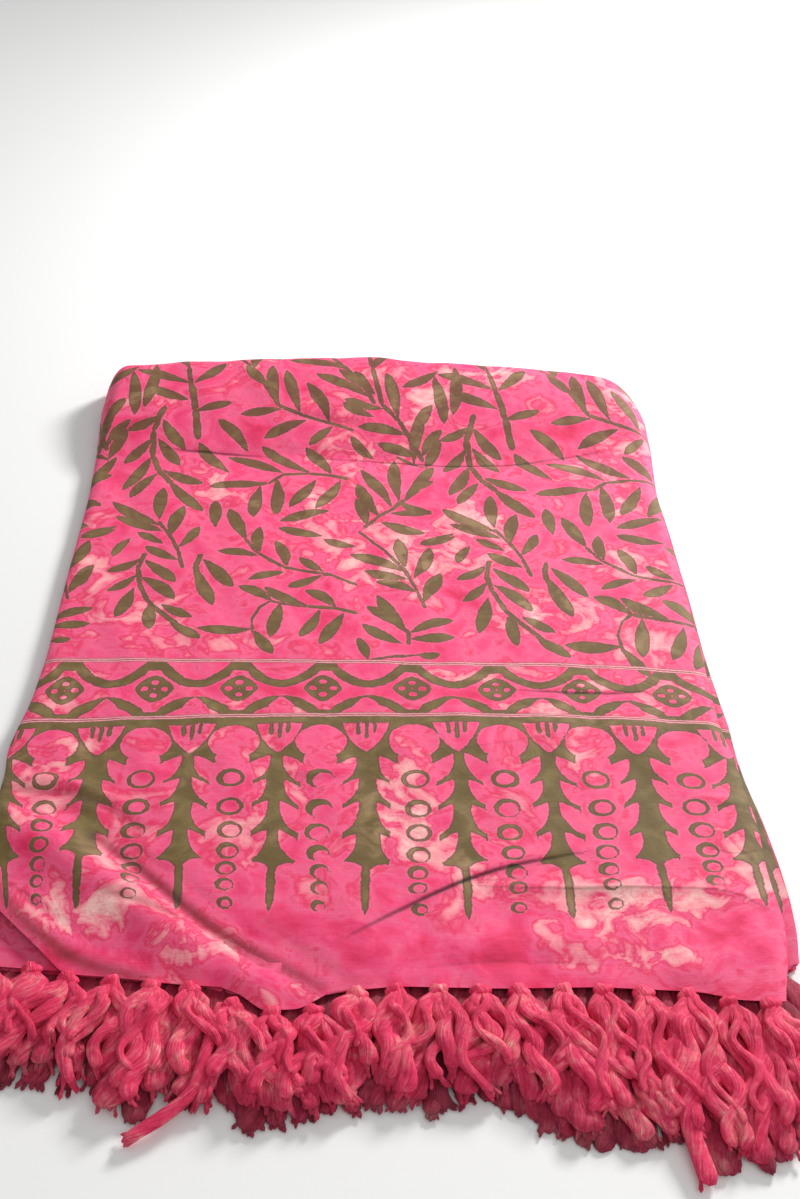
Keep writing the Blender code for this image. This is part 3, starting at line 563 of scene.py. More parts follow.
def bowed(cloth):
    """Cloth places with V bent so that the band's lines and the spires' tips follow the bowed rows."""
    u_at, v_at = cloth[..., 0], cloth[..., 1]
    top, bottom, tips = (along(BOW, name, u_at, 12) for name in ("top", "bottom", "tips"))
    stamped = np.where(
        v_at > top,
        11 + (v_at - top) * (100 - 11) / (100 - top),
        np.where(v_at > bottom, 11 + (v_at - top) * 69 / (top - bottom), -58 + (v_at - bottom) * 201 / (bottom - tips)),
    )
    return np.stack([u_at, np.where(v_at > 100, v_at, stamped)], axis=-1)


def normals(grid):
    """Unit normals of a grid of points, on the side that faces up and out."""
    normal = np.cross(np.gradient(grid, axis=1), np.gradient(grid, axis=0))
    return normal / np.maximum(np.linalg.norm(normal, axis=-1, keepdims=True), 1e-12)


def placed(name, data):
    """A new object with its mesh, lamp or lens, put in the scene."""
    made = bpy.data.objects.new(name, data)
    bpy.context.scene.collection.objects.link(made)
    return made


def carry(mesh, where, **layers):
    """Writes numbers, or rows of three, onto a mesh's points or corners under their names."""
    for name, values in layers.items():
        kind, field = ("FLOAT_VECTOR", "vector") if values.ndim > 1 else ("FLOAT", "value")
        layer = mesh.attributes.new(name, kind, where)
        layer.data.foreach_set(field, values.astype(np.float32).ravel())


def cloth_piece(name, grid, cloth, skip):
    """A sheet of cloth as one closed shell: a fine face, a coarser underside and a rim that joins them."""
    rows, cols = grid.shape[:2]
    grid = np.concatenate([grid[..., :2], np.maximum(grid[..., 2:], 0.0003)], axis=-1)
    at_rows = sorted({*range(0, rows, skip), rows - 1})
    at_cols = sorted({*range(0, cols, skip), cols - 1})
    pick = np.ix_(at_rows, at_cols)
    deeper = np.zeros((len(at_rows), len(at_cols), 1))
    deeper[1:-1, 1:-1] = 0.0004
    under = grid[pick] - (CLOTH_THICK + deeper) * normals(grid)[pick]
    # The coarse underside lies under the lowest place round each of its corners, so troughs don't reach it.
    padded = np.pad(grid[..., 2], skip, mode="edge")
    around = np.lib.stride_tricks.sliding_window_view(padded, (2 * skip + 1,) * 2)
    dip = grid[..., 2] - around.min(axis=(2, 3))
    hem, far_edge, left, right = 14, 32, 20, 14  # rows and columns of the steep edges, which stay as they are
    dip[:hem], dip[-far_edge:], dip[:, :left], dip[:, -right:] = 0, 0, 0, 0
    under[..., 2] = np.maximum(under[..., 2] - dip[pick], 0.0001)
    index = np.arange(rows * cols).reshape(rows, cols)
    low = rows * cols + np.arange(under.shape[0] * under.shape[1]).reshape(under.shape[:2])
    upper_faces = np.stack([index[:-1, :-1], index[:-1, 1:], index[1:, 1:], index[1:, :-1]], axis=-1).reshape(-1, 4)
    under_faces = np.stack([low[:-1, :-1], low[1:, :-1], low[1:, 1:], low[:-1, 1:]], axis=-1).reshape(-1, 4)
    # The rim, walked anticlockwise: near edge, right, far and left.
    walks = (
        (index[0], low[0], at_cols), (index[:, -1], low[:, -1], at_rows),
        (index[-1, ::-1], low[-1, ::-1], [cols - 1 - c for c in at_cols[::-1]]),
        (index[::-1, 0], low[::-1, 0], [rows - 1 - r for r in at_rows[::-1]]),
    )
    rim = []
    for fine, coarse, stops in walks:
        for k in range(len(stops) - 1):
            rim.append([coarse[k], coarse[k + 1], *fine[stops[k] : stops[k + 1] + 1][::-1]])
    points = np.concatenate([grid.reshape(-1, 3), under.reshape(-1, 3)])
    places = np.concatenate([cloth.reshape(-1, 2), cloth[pick].reshape(-1, 2)])
    mesh = bpy.data.meshes.new(name)
    faces = upper_faces.tolist() + under_faces.tolist() + [list(map(int, corners)) for corners in rim]
    mesh.from_pydata(points.tolist(), [], faces)
    mesh.shade_smooth()
    mesh.set_sharp_from_angle(angle=math.radians(60))
    corner = np.empty(len(mesh.loops), np.int32)
    mesh.loops.foreach_get("vertex_index", corner)
    totals = np.empty(len(mesh.polygons), np.int32)
    mesh.polygons.foreach_get("loop_total", totals)
    face_of = np.repeat(np.arange(len(totals)), totals)
    mesh.uv_layers.new(name="cloth").data.foreach_set("uv", (places[corner] / 1000).ravel())
    place, form = print_on(places[corner], face_of, len(totals))
    carry(mesh, "CORNER", print_place=place, print_form=form)
    carry(mesh, "POINT", pale=patches(PALE, places), deep=patches(DEEP, places))
    # Sharp creases keep their distance, so that their painted shade and bump draw as fine lines; wide folds get soft
    # painted shade.
    crease, mark, hollow = np.full(len(points), 20.0), np.zeros(len(points)), np.zeros(len(points))
    for _, _, width, _, strength, line in FOLDS[1:]:
        if not strength or name != "top_cloth":
            continue
        far, where = away(points[:, 0], points[:, 1], line)
        if width > WIDE_FOLD:
            deepest = strength * np.sin(math.pi * (0.22 + 0.56 * where))
            hollow = np.maximum(hollow, deepest * np.exp(-((far / (0.6 * width)) ** 2)))
            continue
        nearer = abs(far) * 1000 < abs(crease)
        crease = np.where(nearer, far * 1000, crease)
        mark = np.where(nearer, strength * fade(where) * np.clip((0.012 - abs(far)) / 0.006, 0, 1), mark)
    carry(mesh, "POINT", crease=crease, crease_mark=mark, hollow=hollow)
    return placed(name, mesh)


def linear(colour):
    """An sRGB hex colour as linear light, by the standard curve."""
    parts = [int(colour[k : k + 2], 16) / 255 for k in (1, 3, 5)]
    return (*[c / 12.92 if c <= 0.04045 else ((c + 0.055) / 1.055) ** 2.4 for c in parts], 1)


def add(tree, kind, links=None, stops=None, **settings):
    """Adds one node with its settings. links: socket to a value or to what is linked there."""
    made = tree.nodes.new(kind)
    for name, value in settings.items():
        setattr(made, name, value)
    for socket, value in (links or {}).items():
        if isinstance(value, bpy.types.NodeSocket):
            tree.links.new(value, made.inputs[socket])
        elif isinstance(value, bpy.types.Node):
            tree.links.new(value.outputs[0], made.inputs[socket])
        else:
            made.inputs[socket].default_value = value
    for n, (place, colour) in enumerate(stops or ()):
        elements = made.color_ramp.elements
        stop = elements[n] if n < 2 else elements.new(place)
        stop.position, stop.color = place, linear(colour)
    return made


def calc(tree, operation, *values):
    """One sum or function of up to three values."""
    return add(tree, "ShaderNodeMath", dict(enumerate(values)), operation=operation)


def scaled(tree, vector, factor):
    """A vector times a number."""
    return add(tree, "ShaderNodeVectorMath", {0: vector, "Scale": factor}, operation="SCALE")


def ranged(tree, value, low, high, to_low=0.0, to_high=1.0):
    """A value carried from one range to another in a straight line, and held at its ends."""
    ends = {"From Min": low, "From Max": high, "To Min": to_low, "To Max": to_high}
    return add(tree, "ShaderNodeMapRange", {"Value": value, **ends})


def noise(tree, place, scale, detail, rough=0.5, distortion=0.0):
    """Smooth noise with `scale` bumps to a unit of place and `detail` finer layers."""
    settings = {"Scale": scale, "Detail": detail, "Roughness": rough, "Distortion": distortion}
    return add(tree, "ShaderNodeTexNoise", {"Vector": place, **settings})


def carried(tree, name, output="Fac"):
    """A value that the mesh carries at its corners or points."""
    return add(tree, "ShaderNodeAttribute", attribute_name=name).outputs[output]


def tinted(tree, share, under, over, how="MIX"):
    """A colour brought towards a second one by a share. Each is a hex colour or what is linked there."""
    under, over = (linear(c) if isinstance(c, str) else c for c in (under, over))
    ends = {"Factor": share, "A": under, "B": over}
    return add(tree, "ShaderNodeMix", ends, data_type="RGBA", blend_type=how).outputs[2]


def batik(name, shade):
    """Wax-resist printed rayon: matt, slightly uneven in dye, with pale marbling and olive stamping.

    shade darkens the layers that lie below.
    """
    material = bpy.data.materials.new(name)
    material.use_nodes = True
    tree = material.node_tree
    place_mm = scaled(tree, add(tree, "ShaderNodeUVMap", uv_map="cloth"), 1000.0)
    pale, deep = carried(tree, "pale"), carried(tree, "deep")
    # Dye: broad marbling, finer clouds and threads, all in millimetres.
    broad = noise(tree, place_mm, 0.016, 4.0, 0.55, 1.4)
    cloud = noise(tree, place_mm, 0.036, 4.0, 0.52, 1.3)
    cloud_share = calc(tree, "MULTIPLY_ADD", pale, 0.70, 0.14)
    cloud_here = calc(tree, "MULTIPLY", calc(tree, "SUBTRACT", cloud, 0.42), cloud_share)
    tone = calc(tree, "MULTIPLY_ADD", broad, 1.05, -0.10)
    # deep is mostly pooled dye, but its patch by the front-left hem is painted shade.
    for part, share in ((cloud_here, 2.9), (pale, 0.21), (deep, -0.30)):
        tone = calc(tree, "MULTIPLY_ADD", part, share, tone)
    # Its ramp has a deep rim just under the pale tones, the tide mark that dye leaves round a waxed place.
    dye = add(tree, "ShaderNodeValToRGB", {"Fac": tone}, stops=(
        (0.0, "#C80F4A"), (1.0, "#FFC4BE"), (0.20, "#E8205C"), (0.36, "#F64078"), (0.50, "#F75E8A"),
        (0.585, "#EC2C62"), (0.665, "#FB7C94"), (0.78, "#FF9EA4"),
    ))
    # Crackle: dye that ran into cracks of the wax, only where the cloth is pale.
    bent = scaled(tree, noise(tree, place_mm, 0.12, 4.0, 0.65).outputs["Color"], 26.0)
    bent = add(tree, "ShaderNodeVectorMath", {0: place_mm, 1: bent}, operation="ADD")
    cracks = add(tree, "ShaderNodeTexVoronoi", {"Vector": bent, "Scale": 0.085}, feature="DISTANCE_TO_EDGE")
    line = ranged(tree, cracks.outputs["Distance"], 0.0, 0.12, 1.0, 0.0)
    cracked = calc(tree, "MULTIPLY", ranged(tree, pale, 0.35, 0.8, 0.0, 0.42), line)
    dye = tinted(tree, cracked, dye, "#E8326E")
    # The stamped print, from each face's place in its shape.
    spot = add(tree, "ShaderNodeSeparateXYZ", {0: carried(tree, "print_place", "Vector")}).outputs
    form = add(tree, "ShaderNodeSeparateXYZ", {0: carried(tree, "print_form", "Vector")}).outputs
    long_part = calc(tree, "POWER", calc(tree, "ABSOLUTE", spot[0]), form[1])
    side_part = calc(tree, "POWER", calc(tree, "ABSOLUTE", spot[1]), form[0])
    total = calc(tree, "POWER", calc(tree, "ADD", long_part, side_part), form[2])
    apart = calc(tree, "MULTIPLY", calc(tree, "SUBTRACT", total, 1.0), spot[2])
    # Its edges are ragged, and the block pressed harder in some places than in others, so strokes swell
    # and thin.
    ragged = calc(tree, "SUBTRACT", noise(tree, place_mm, 0.32, 2.0), 0.5)
    pressure = calc(tree, "SUBTRACT", noise(tree, place_mm, 0.075, 1.0), 0.5)
    for part, share in ((ragged, 2.4), (pressure, 2.6)):
        apart = calc(tree, "MULTIPLY_ADD", part, share, apart)
    stamped = ranged(tree, apart, 0.25, -0.35)
    halo = ranged(tree, apart, 1.9, 0.5, 0.0, 0.16)
    edge = ranged(tree, calc(tree, "ABSOLUTE", calc(tree, "ADD", apart, 0.25)), 1.0, 0.2, 0.0, 0.72)
    # Two pairs of thin pale lines with a dark edge run along the band.
    rows_at = add(tree, "ShaderNodeSeparateXYZ", {0: place_mm}).outputs[1]
    rows_at = calc(tree, "MULTIPLY_ADD", ragged, 1.6, rows_at)
    from_middle = calc(tree, "ABSOLUTE", calc(tree, "ADD", rows_at, 23.5))
    from_line = calc(tree, "ABSOLUTE", calc(tree, "SUBTRACT", from_middle, 34.5))
    pale_line = ranged(tree, calc(tree, "ABSOLUTE", calc(tree, "SUBTRACT", from_line, 1.2)), 0.75, 0.25)
    dark_line = ranged(tree, from_line, 3.0, 2.3, 0.0, 0.80)
    # The olive is redder far off. Where the cloth is pale it took less: it is lighter and the dye shows through.
    olive = tinted(tree, ranged(tree, rows_at, -60.0, 380.0), "#6A5426", "#714629")
    olive = tinted(tree, ranged(tree, cloud, 0.42, 0.70, 0.0, 0.6), olive, "#8C7845")
    olive = tinted(tree, ranged(tree, tone, 0.58, 1.0, 0.0, 0.40), olive, "#C79A78")
    inked = tinted(tree, halo, dye, "#FFA8B4")
    for share, ink in ((stamped, olive), (edge, "#6A3438"), (dark_line, "#8A5A4C"), (pale_line, "#FFA6B4")):
        inked = tinted(tree, share, inked, ink)
    # Weave: slub threads across the cloth. Real threads are 0.3 mm apart, drawn at 1.6 mm so that they show.
    stretched = add(tree, "ShaderNodeVectorMath", {0: place_mm, 1: (0.035, 0.62, 1.0)}, operation="MULTIPLY")
    slubs = noise(tree, stretched, 1.0, 3.0, 0.7)
    woven = ranged(tree, slubs, 0.3, 0.7, 0.93, 1.05)
    # Painted shade: the colour is darkened along thin creases, which are also pressed in as a bump.
    crease_shade_and_dent = ranged(tree, calc(tree, "ABSOLUTE", carried(tree, "crease")), 1.9, 0.3)
    crease_shade_and_dent = calc(tree, "MULTIPLY", crease_shade_and_dent, carried(tree, "crease_mark"))
    value = calc(tree, "MULTIPLY", calc(tree, "MULTIPLY_ADD", crease_shade_and_dent, -0.85, woven), shade)
    colour = add(tree, "ShaderNodeHueSaturation", {"Color": inked, "Value": value})
    # Painted shade: the hollows of wide folds are darkened towards deep rose, as light that reaches a fold's floor has
    # passed the dyed cloth beside it.
    colour = tinted(tree, carried(tree, "hollow"), colour, "#90405A", "MULTIPLY")
    soft = noise(tree, place_mm, 0.09, 3.0, 0.6)
    relief = calc(tree, "MULTIPLY_ADD", slubs, 0.35, soft)
    relief = calc(tree, "MULTIPLY_ADD", crease_shade_and_dent, -1.1, relief)
    bump = add(tree, "ShaderNodeBump", {"Height": relief, "Strength": 0.5, "Distance": 0.0011})
    rough = ranged(tree, slubs, 0.0, 1.0, 0.66, 0.84)
    shader = tree.nodes["Principled BSDF"]
    tree.links.new(colour, shader.inputs["Base Color"])
    tree.links.new(rough.outputs[0], shader.inputs["Roughness"])
    tree.links.new(bump.outputs[0], shader.inputs["Normal"])
    shader.inputs["Sheen Weight"].default_value = 0.05
    shader.inputs["Sheen Roughness"].default_value = 0.5
    return material


s_at, x_at = np.meshgrid(CLOTH_STATIONS, CLOTH_COLUMNS, indexing="ij")
share_at = (x_at - X_FOLD) / (X_OPEN - X_FOLD)
cloth_grid, plain_grid = (
    turned_under(turned_under(top_surface(s_at, share_at, folds), 1, BEND, FLANGE)[::-1], 0, BEND, FAR_FLANGE)[::-1]
    for folds in (FOLDS[1:], ())
)
places = cloth_places(plain_grid, np.concatenate([np.full(6, X_FOLD), CLOTH_COLUMNS]))
top_cloth = cloth_piece("top_cloth", cloth_grid, bowed(places), 6)
top_cloth.data.materials.append(batik("printed_rayon_top", 1.0))
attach(top_cloth, "root")
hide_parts("top_layer")

# The layers below
# The same cloth again: one layer whose selvedge shows past the top one, and a doubled layer under it
# with its own long fold on the left. Their edges lie a little in or out, as in a stack folded by hand.

LOW_STATIONS = [np.linspace(Y_HEM, -0.305, 9), np.linspace(-0.300, 0.440, 160), np.linspace(0.4425, 0.462, 8)]
LOW_STATIONS = np.concatenate(LOW_STATIONS)


def low_layer(s, across, height_share, inset, phase):
    """A flat layer at a share of the top one's foot, between the lower outlines, its edges rippled."""
    u = np.clip(across, 0, 1)
    x, y = plan(s, u, "low_left", "low_right", LOW_HEM)
    foot = along(EDGES, "foot_right", s) - 0.0013
    ripple = 0.00025 * np.sin(64 * y + phase) + 0.00018 * np.sin(151 * y + 40 * x + 2 * phase)
    z = foot * height_share + ripple * height_share
    x = x - inset * u - 0.0010 * np.sin(23 * y + phase) * u
    return np.stack([x, y - 0.004 * np.clip((s - 0.44) / 0.03, 0, 1), z], axis=-1)


def low_cloth(grid):
    """Cloth places of a lower layer: across it by arc length from its right edge, and along it by y."""
    across = arc(grid, 1)
    u_at = 1000 * grid[:, -1:, 0] - (across[:, -1:] - across)
    return np.stack([u_at, 1000 * grid[..., 1]], axis=-1)


steps = np.concatenate([np.linspace(0, 0.86, 60), np.linspace(0.864, 0.985, 34), [0.989, 0.993, 0.997, 1.0]])
s_at, u_at = np.meshgrid(LOW_STATIONS, steps, indexing="ij")
second_grid = low_layer(s_at, u_at, 0.97, 0.0004, 0.7)
second_grid[..., 0] += 0.004 * (1 - u_at)
edge_drop = np.clip((u_at - 0.985) / 0.015, 0, 1) ** 2
second_grid[..., 2] -= 0.0011 * edge_drop
second_layer = cloth_piece("second_layer", second_grid, bowed(low_cloth(second_grid) + np.array([-9.0, 3.0])), 5)
second_layer.data.materials.append(batik("printed_rayon_second", 0.80))

# The doubled layer: its upper half runs left, round the fold, and its lower half back along the floor.
halves = {}
steps = np.concatenate([np.linspace(0.008, 0.94, 70), np.linspace(0.945, 1, 16)])
s_at, u_at = np.meshgrid(LOW_STATIONS, steps, indexing="ij")
for half, share, inset, phase in (("upper", 0.62, 0.0, 2.1), ("lower", 0.07, 0.0018, 4.4)):
    halves[half] = low_layer(s_at, u_at, share, inset, phase)
turn = np.radians(np.linspace(90, 270, 15))[1:-1]
top_edge, low_edge = halves["upper"][:, :1], halves["lower"][:, :1]
centre = (top_edge + low_edge) / 2
radius = (top_edge[..., 2:] - low_edge[..., 2:]) / 2
bend = centre + np.stack([np.cos(turn), 0 * turn, np.sin(turn)], axis=-1)[None] * radius
bend[..., 0] += 0.0006 * np.cos(turn)[None]
lower_grid = np.concatenate([halves["lower"][:, ::-1], bend[:, ::-1], halves["upper"]], axis=1)
lower_fold = cloth_piece("lower_fold", lower_grid, bowed(low_cloth(lower_grid) + np.array([4.0, -6.0])), 5)
lower_fold.data.materials.append(batik("printed_rayon_lower", 0.80))
for piece in (second_layer, lower_fold):
    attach(piece, "root")
    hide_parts("folded_layers")

# The knotted fringe
# Warp ends twisted into soft locks of rayon yarn, six of them to a knot at the hem. Each knot with its
# locks is one piece; the fringe of the lower layers, under them, comes in five more.

TASSELS, LOWER_STRIPS, LOWER_LOCKS, LOCK_PITCH = 20, 5, 12, 0.0091
FRINGE_ENDS = columns(
    "x y",
    (-0.285, -0.388), (-0.239, -0.394), (-0.2025, -0.391), (-0.170, -0.403), (-0.157, -0.430),
    (-0.143, -0.405), (-0.120, -0.4105), (-0.085, -0.427), (-0.051, -0.426), (-0.0025, -0.413),
    (0.028, -0.420), (0.053, -0.410), (0.083, -0.421), (0.107, -0.440), (0.141, -0.446),
    (0.178, -0.443), (0.189, -0.452), (0.198, -0.469), (0.210, -0.464), (0.230, -0.454),
    (0.248, -0.430), (0.272, -0.405), (0.300, -0.398),
)
LEVELS = columns(
    "out floor first second third",
    (0.000, 0.0007, 0.0062, 0.0112, 0.0160),
    (0.022, 0.0007, 0.0072, 0.0135, 0.0195),
    (0.052, 0.0007, 0.0070, 0.0128, 0.0182),
    (0.085, 0.0006, 0.0056, 0.0102, 0.0146),
    (0.120, 0.0005, 0.0044, 0.0084, 0.0122),
    (0.160, 0.0005, 0.0036, 0.0070, 0.0100),
)
LEVEL_NAMES = ("floor", "first", "second", "third")
ROUND, RINGS = 20, 44  # points round a lock, and rings along it
chance = np.random.default_rng(11)


def sideways(x, out, level):
    """How far a lock at x has moved sideways at a distance out: two waves across the fringe, and a spread."""
    phase = (0.3, 2.1, 4.0)[level]
    sway = 0.0052 * np.sin(x / 0.034 + phase) + 0.0030 * np.sin(x / 0.019 + 2.2 * phase)
    bent = np.sin(np.minimum(out, 0.12) / 0.12 * math.pi * (0.55 + 0.1 * level))
    spread = 0.16 * max(x - 0.20, 0) + 0.10 * min(x + 0.24, 0)
    return sway * bent + spread * np.minimum(out / 0.08, 1.0) * 2.0


def lock(path, wide, tall, plies, twist, start, corners=ROUND):
    """A soft lock: rings carried along a path, necked at the root and blunt at the end.

    The radius at angle a and share t is 0.74 + 0.36 |cos(plies / 2 (a + twist t))|, so the plies meet
    in grooves that wind along the lock, plus a finer wave for single yarns.
    """
    t = np.linspace(0, 1, len(path))[:, None]
    forward = np.gradient(path, axis=0)
    forward /= np.linalg.norm(forward, axis=1, keepdims=True)
    side = np.cross(forward, (0, 0, 1.0))
    side /= np.linalg.norm(side, axis=1, keepdims=True)
    lift = np.cross(side, forward)
    angle = np.linspace(0, 2 * math.pi, corners, endpoint=False)[None]
    body = 0.74 + 0.36 * abs(np.cos(plies / 2 * (angle + twist * t) + start))
    body = body + 0.05 * np.cos(9 * angle + 2 * twist * t + 3 * start)
    neck = np.clip(0.50 + t / 0.14 * 0.5, 0, 1)
    blunt = np.sqrt(1 - 0.96 * np.clip((t - 0.93) / 0.07, 0, 1) ** 2)
    uneven = neck * blunt * (1 - 0.22 * t) * (1 + 0.13 * np.sin(8 * t + 2 * start))
    ring = path[:, None] + (side[:, None] * (wide * uneven * body * np.cos(angle))[..., None])
    ring = ring + lift[:, None] * (tall * uneven * body * np.sin(angle))[..., None]
    ring[..., 2] = np.maximum(ring[..., 2], 0.0005)
    return ring


def wisps(path, wide):
    """Loose yarn ends, four thin ones that fan out from the end of a lock and sink towards the floor."""
    ahead = (path[-1] - path[-5]) / np.linalg.norm(path[-1] - path[-5])
    across = np.array([-ahead[1], ahead[0], 0.0])
    t = np.linspace(0, 1, 9)[:, None]
    found = []
    for k in range(4):
        lean, curl = 0.8 * (chance.random() - 0.5), 0.006 * (chance.random() - 0.5)
        reach = 0.008 + 0.006 * chance.random()
        line = path[-5] + across * wide * 0.30 * (k - 1.5) + (ahead + across * lean) * reach * t + across * curl * t**2
        line[:, 2] = np.maximum(line[:, 2] * (1 - 0.35 * t[:, 0]), 0.0014)
        found.append(lock(line, 0.0017, 0.0012, 2, 3.0, 2.0 * k, 8))
    return found


def knot(x, y, z, start):
    """A tied knot: a flattened ball whose surface is drawn in along two slanting wraps."""
    polar = np.linspace(0.06, math.pi - 0.06, 16)[:, None]
    angle = np.linspace(0, 2 * math.pi, ROUND, endpoint=False)[None]
    wrap = 1 + 0.14 * np.sin(2 * angle + 3.2 * polar + start) + 0.05 * np.sin(5 * angle - 4 * polar)
    ball = np.stack(
        [np.sin(polar) * np.cos(angle) * 0.0068, -np.cos(polar) * np.ones_like(angle) * 0.0061,
         np.sin(polar) * np.sin(angle) * 0.0056], axis=-1) * wrap[..., None]
    return (ball + np.array([x, y, z]))[::-1]


def yarn_piece(name, tubes, depths):
    """Closed tubes as one mesh, with a map of length along and share around each, and how much painted shade darkens
    it, more for locks that lie lower.
    """
    points, faces, around, lengths, depth = [], [], [], [], []
    start = 0
    for tube, shade_of_lock in zip(tubes, depths):
        rows, cols = tube.shape[:2]
        index = start + np.arange(rows * cols).reshape(rows, cols)
        after = np.roll(index, -1, axis=1)
        sides = np.stack([index[:-1], index[1:], after[1:], after[:-1]], axis=-1).reshape(-1, 4)
        share = np.arange(cols + 1) / cols
        run = arc(tube.mean(axis=1), 0)
        u_one = np.stack([share[:-1], share[:-1], share[1:], share[1:]], axis=-1)
        around.append(np.tile(u_one, (rows - 1, 1, 1)).reshape(-1))
        v_one = np.stack([run[:-1], run[1:], run[1:], run[:-1]], axis=-1)
        lengths.append(v_one[:, None].repeat(cols, axis=1).reshape(-1))
        faces += sides.tolist() + [index[0].tolist(), index[-1, ::-1].tolist()]
        around.append(np.tile(share[:-1], 2))
        lengths.append(np.repeat([0.0, run[-1]], cols))
        points.append(tube.reshape(-1, 3))
        depth.append(np.full(rows * cols, shade_of_lock))
        start += rows * cols
    mesh = bpy.data.meshes.new(name)
    mesh.from_pydata(np.concatenate(points).tolist(), [], faces)
    mesh.shade_smooth()
    flat = np.stack([np.concatenate(around), np.concatenate(lengths) / 1000], axis=-1)
    mesh.uv_layers.new(name="yarn").data.foreach_set("uv", flat.ravel())
    carry(mesh, "POINT", depth=np.concatenate(depth))
    piece = placed(name, mesh)
    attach(piece, "root")
    return piece


def yarn():
    """Dyed rayon yarn, loosely twisted: soft sheen, fine strands along it, paler where it was waxed."""
    material = bpy.data.materials.new("twisted_rayon_yarn")
    material.use_nodes = True
    tree = material.node_tree
    lies = add(tree, "ShaderNodeSeparateXYZ", {0: add(tree, "ShaderNodeUVMap", uv_map="yarn")}).outputs
    object_at = add(tree, "ShaderNodeTexCoord").outputs["Object"]
    # Strands: noise drawn out along the lock and wound round it, about 30 of them. Real ones are finer.
    turn = calc(tree, "MULTIPLY", calc(tree, "MULTIPLY_ADD", lies[1], 9.0, lies[0]), 2 * math.pi)
    wound = {0: calc(tree, "COSINE", turn), 1: calc(tree, "SINE", turn), 2: lies[1]}
    wound = add(tree, "ShaderNodeCombineXYZ", wound)
    wound = add(tree, "ShaderNodeVectorMath", {0: wound, 1: (4.2, 4.2, 60.0)}, operation="MULTIPLY")
    wound = add(tree, "ShaderNodeVectorMath", {0: wound, 1: scaled(tree, object_at, 22.0)}, operation="ADD")
    strand = noise(tree, wound, 1.0, 4.0, 0.62)
    tone = calc(tree, "MULTIPLY_ADD", strand, 1.1, noise(tree, object_at, 75.0, 5.0, 0.65, 1.0))
    tone = calc(tree, "MULTIPLY_ADD", noise(tree, object_at, 42.0, 4.0, 0.6), 1.0, tone)
    tone = calc(tree, "SUBTRACT", tone, 0.98)
    dyed = add(tree, "ShaderNodeValToRGB", {"Fac": tone}, stops=(
        (0.15, "#B0043A"), (1.0, "#FFB4A6"), (0.38, "#E0124C"), (0.58, "#F62C66"), (0.82, "#FF7080"),
    ))
    # Painted shade: locks that lie lower in the fringe are darkened in their colour.
    value = ranged(tree, carried(tree, "depth"), 0.0, 1.0, 1.02, 0.30)
    colour = add(tree, "ShaderNodeHueSaturation", {"Color": dyed, "Value": value})
    bump = add(tree, "ShaderNodeBump", {"Height": strand, "Strength": 0.8, "Distance": 0.0022})
    shader = tree.nodes["Principled BSDF"]
    tree.links.new(colour.outputs[0], shader.inputs["Base Color"])
    tree.links.new(bump.outputs[0], shader.inputs["Normal"])
    shader.inputs["Roughness"].default_value = 0.7
    shader.inputs["Sheen Weight"].default_value = 0.05
    return material


def lock_path(root, lane_x, end_y, level, hem_y, slant, sway, phase, raised=0.0):
    """The line of a lock: from its root to its lane, then out to its end at its level's height.

    It sways sideways by a sine of the way out, and its last third curls further over.
    """
    t = np.linspace(0, 1, RINGS)
    out = t * (hem_y - end_y)
    join = np.clip(out / 0.022, 0, 1) ** 0.8
    x = root[0] * (1 - join) + (lane_x + sideways(lane_x, out, level)) * join
    loose = np.clip(t / 0.35, 0, 1)
    x = x + slant * t**1.2 + sway * np.sin(2 * math.pi * (out / (0.046 + 0.022 * phase) + phase)) * loose
    x = x + 0.9 * sway * np.sin(9 * phase) * np.clip((t - 0.62) / 0.38, 0, 1) ** 2 * 1.6
    low, high = along(LEVELS, LEVEL_NAMES[level], out), along(LEVELS, LEVEL_NAMES[level + 1], out)
    z = low + (0.5 - 0.10 * t) * (high - low) + 0.0013 * np.sin(2 * math.pi * (1.4 * t + phase)) * loose
    z = root[2] * (1 - join) + (z + raised) * join
    return np.stack([x, root[1] + (end_y - root[1]) * t, z], axis=1)


def free_path(stops):
    """A smooth line near stops: their straight line, evened out fourteen times."""
    stops = np.array(stops, float)
    run = np.insert(np.cumsum(np.linalg.norm(np.diff(stops, axis=0), axis=1)), 0, 0)
    path = np.stack([np.interp(np.linspace(0, run[-1], RINGS), run, stops[:, k]) for k in range(3)], axis=1)
    for _ in range(14):
        path[1:-1] = (path[:-2] + 2 * path[1:-1] + path[2:]) / 4
    return path


def fringe_end(x, level):
    """Where a lock at x ends: the lowest level comes nearest to the fringe's outline."""
    short, spread = ((0.003, 0.007), (0.009, 0.012), (0.016, 0.018))[level]
    return float(along(FRINGE_ENDS, "y", x)) + short + spread * chance.random()


yarn_finish = yarn()
hem_x = cloth_grid[0, 6:, 0]
hem_y = np.minimum(cloth_grid[0, 6:, 1], np.interp(hem_x, second_grid[0, :, 0], second_grid[0, :, 1]) + 0.002)
knots = np.array([FIRST_KNOT + n * KNOT_PITCH + 0.0010 * math.sin(2.3 * n) for n in range(TASSELS)])
borders = [[knots[0] - KNOT_PITCH / 2], (knots[1:] + knots[:-1]) / 2, [knots[-1] + KNOT_PITCH / 2]]
borders = np.concatenate(borders)
slants = columns(
    "x slant",
    (-0.28, -0.004), (-0.25, -0.012), (-0.20, -0.018), (-0.165, -0.004), (-0.13, 0.006), (-0.09, 0.012),
    (-0.06, 0.002), (-0.02, -0.010), (0.02, -0.006), (0.06, 0.008), (0.10, 0.012), (0.16, 0.010),
    (0.22, 0.008), (0.27, 0.004),
)
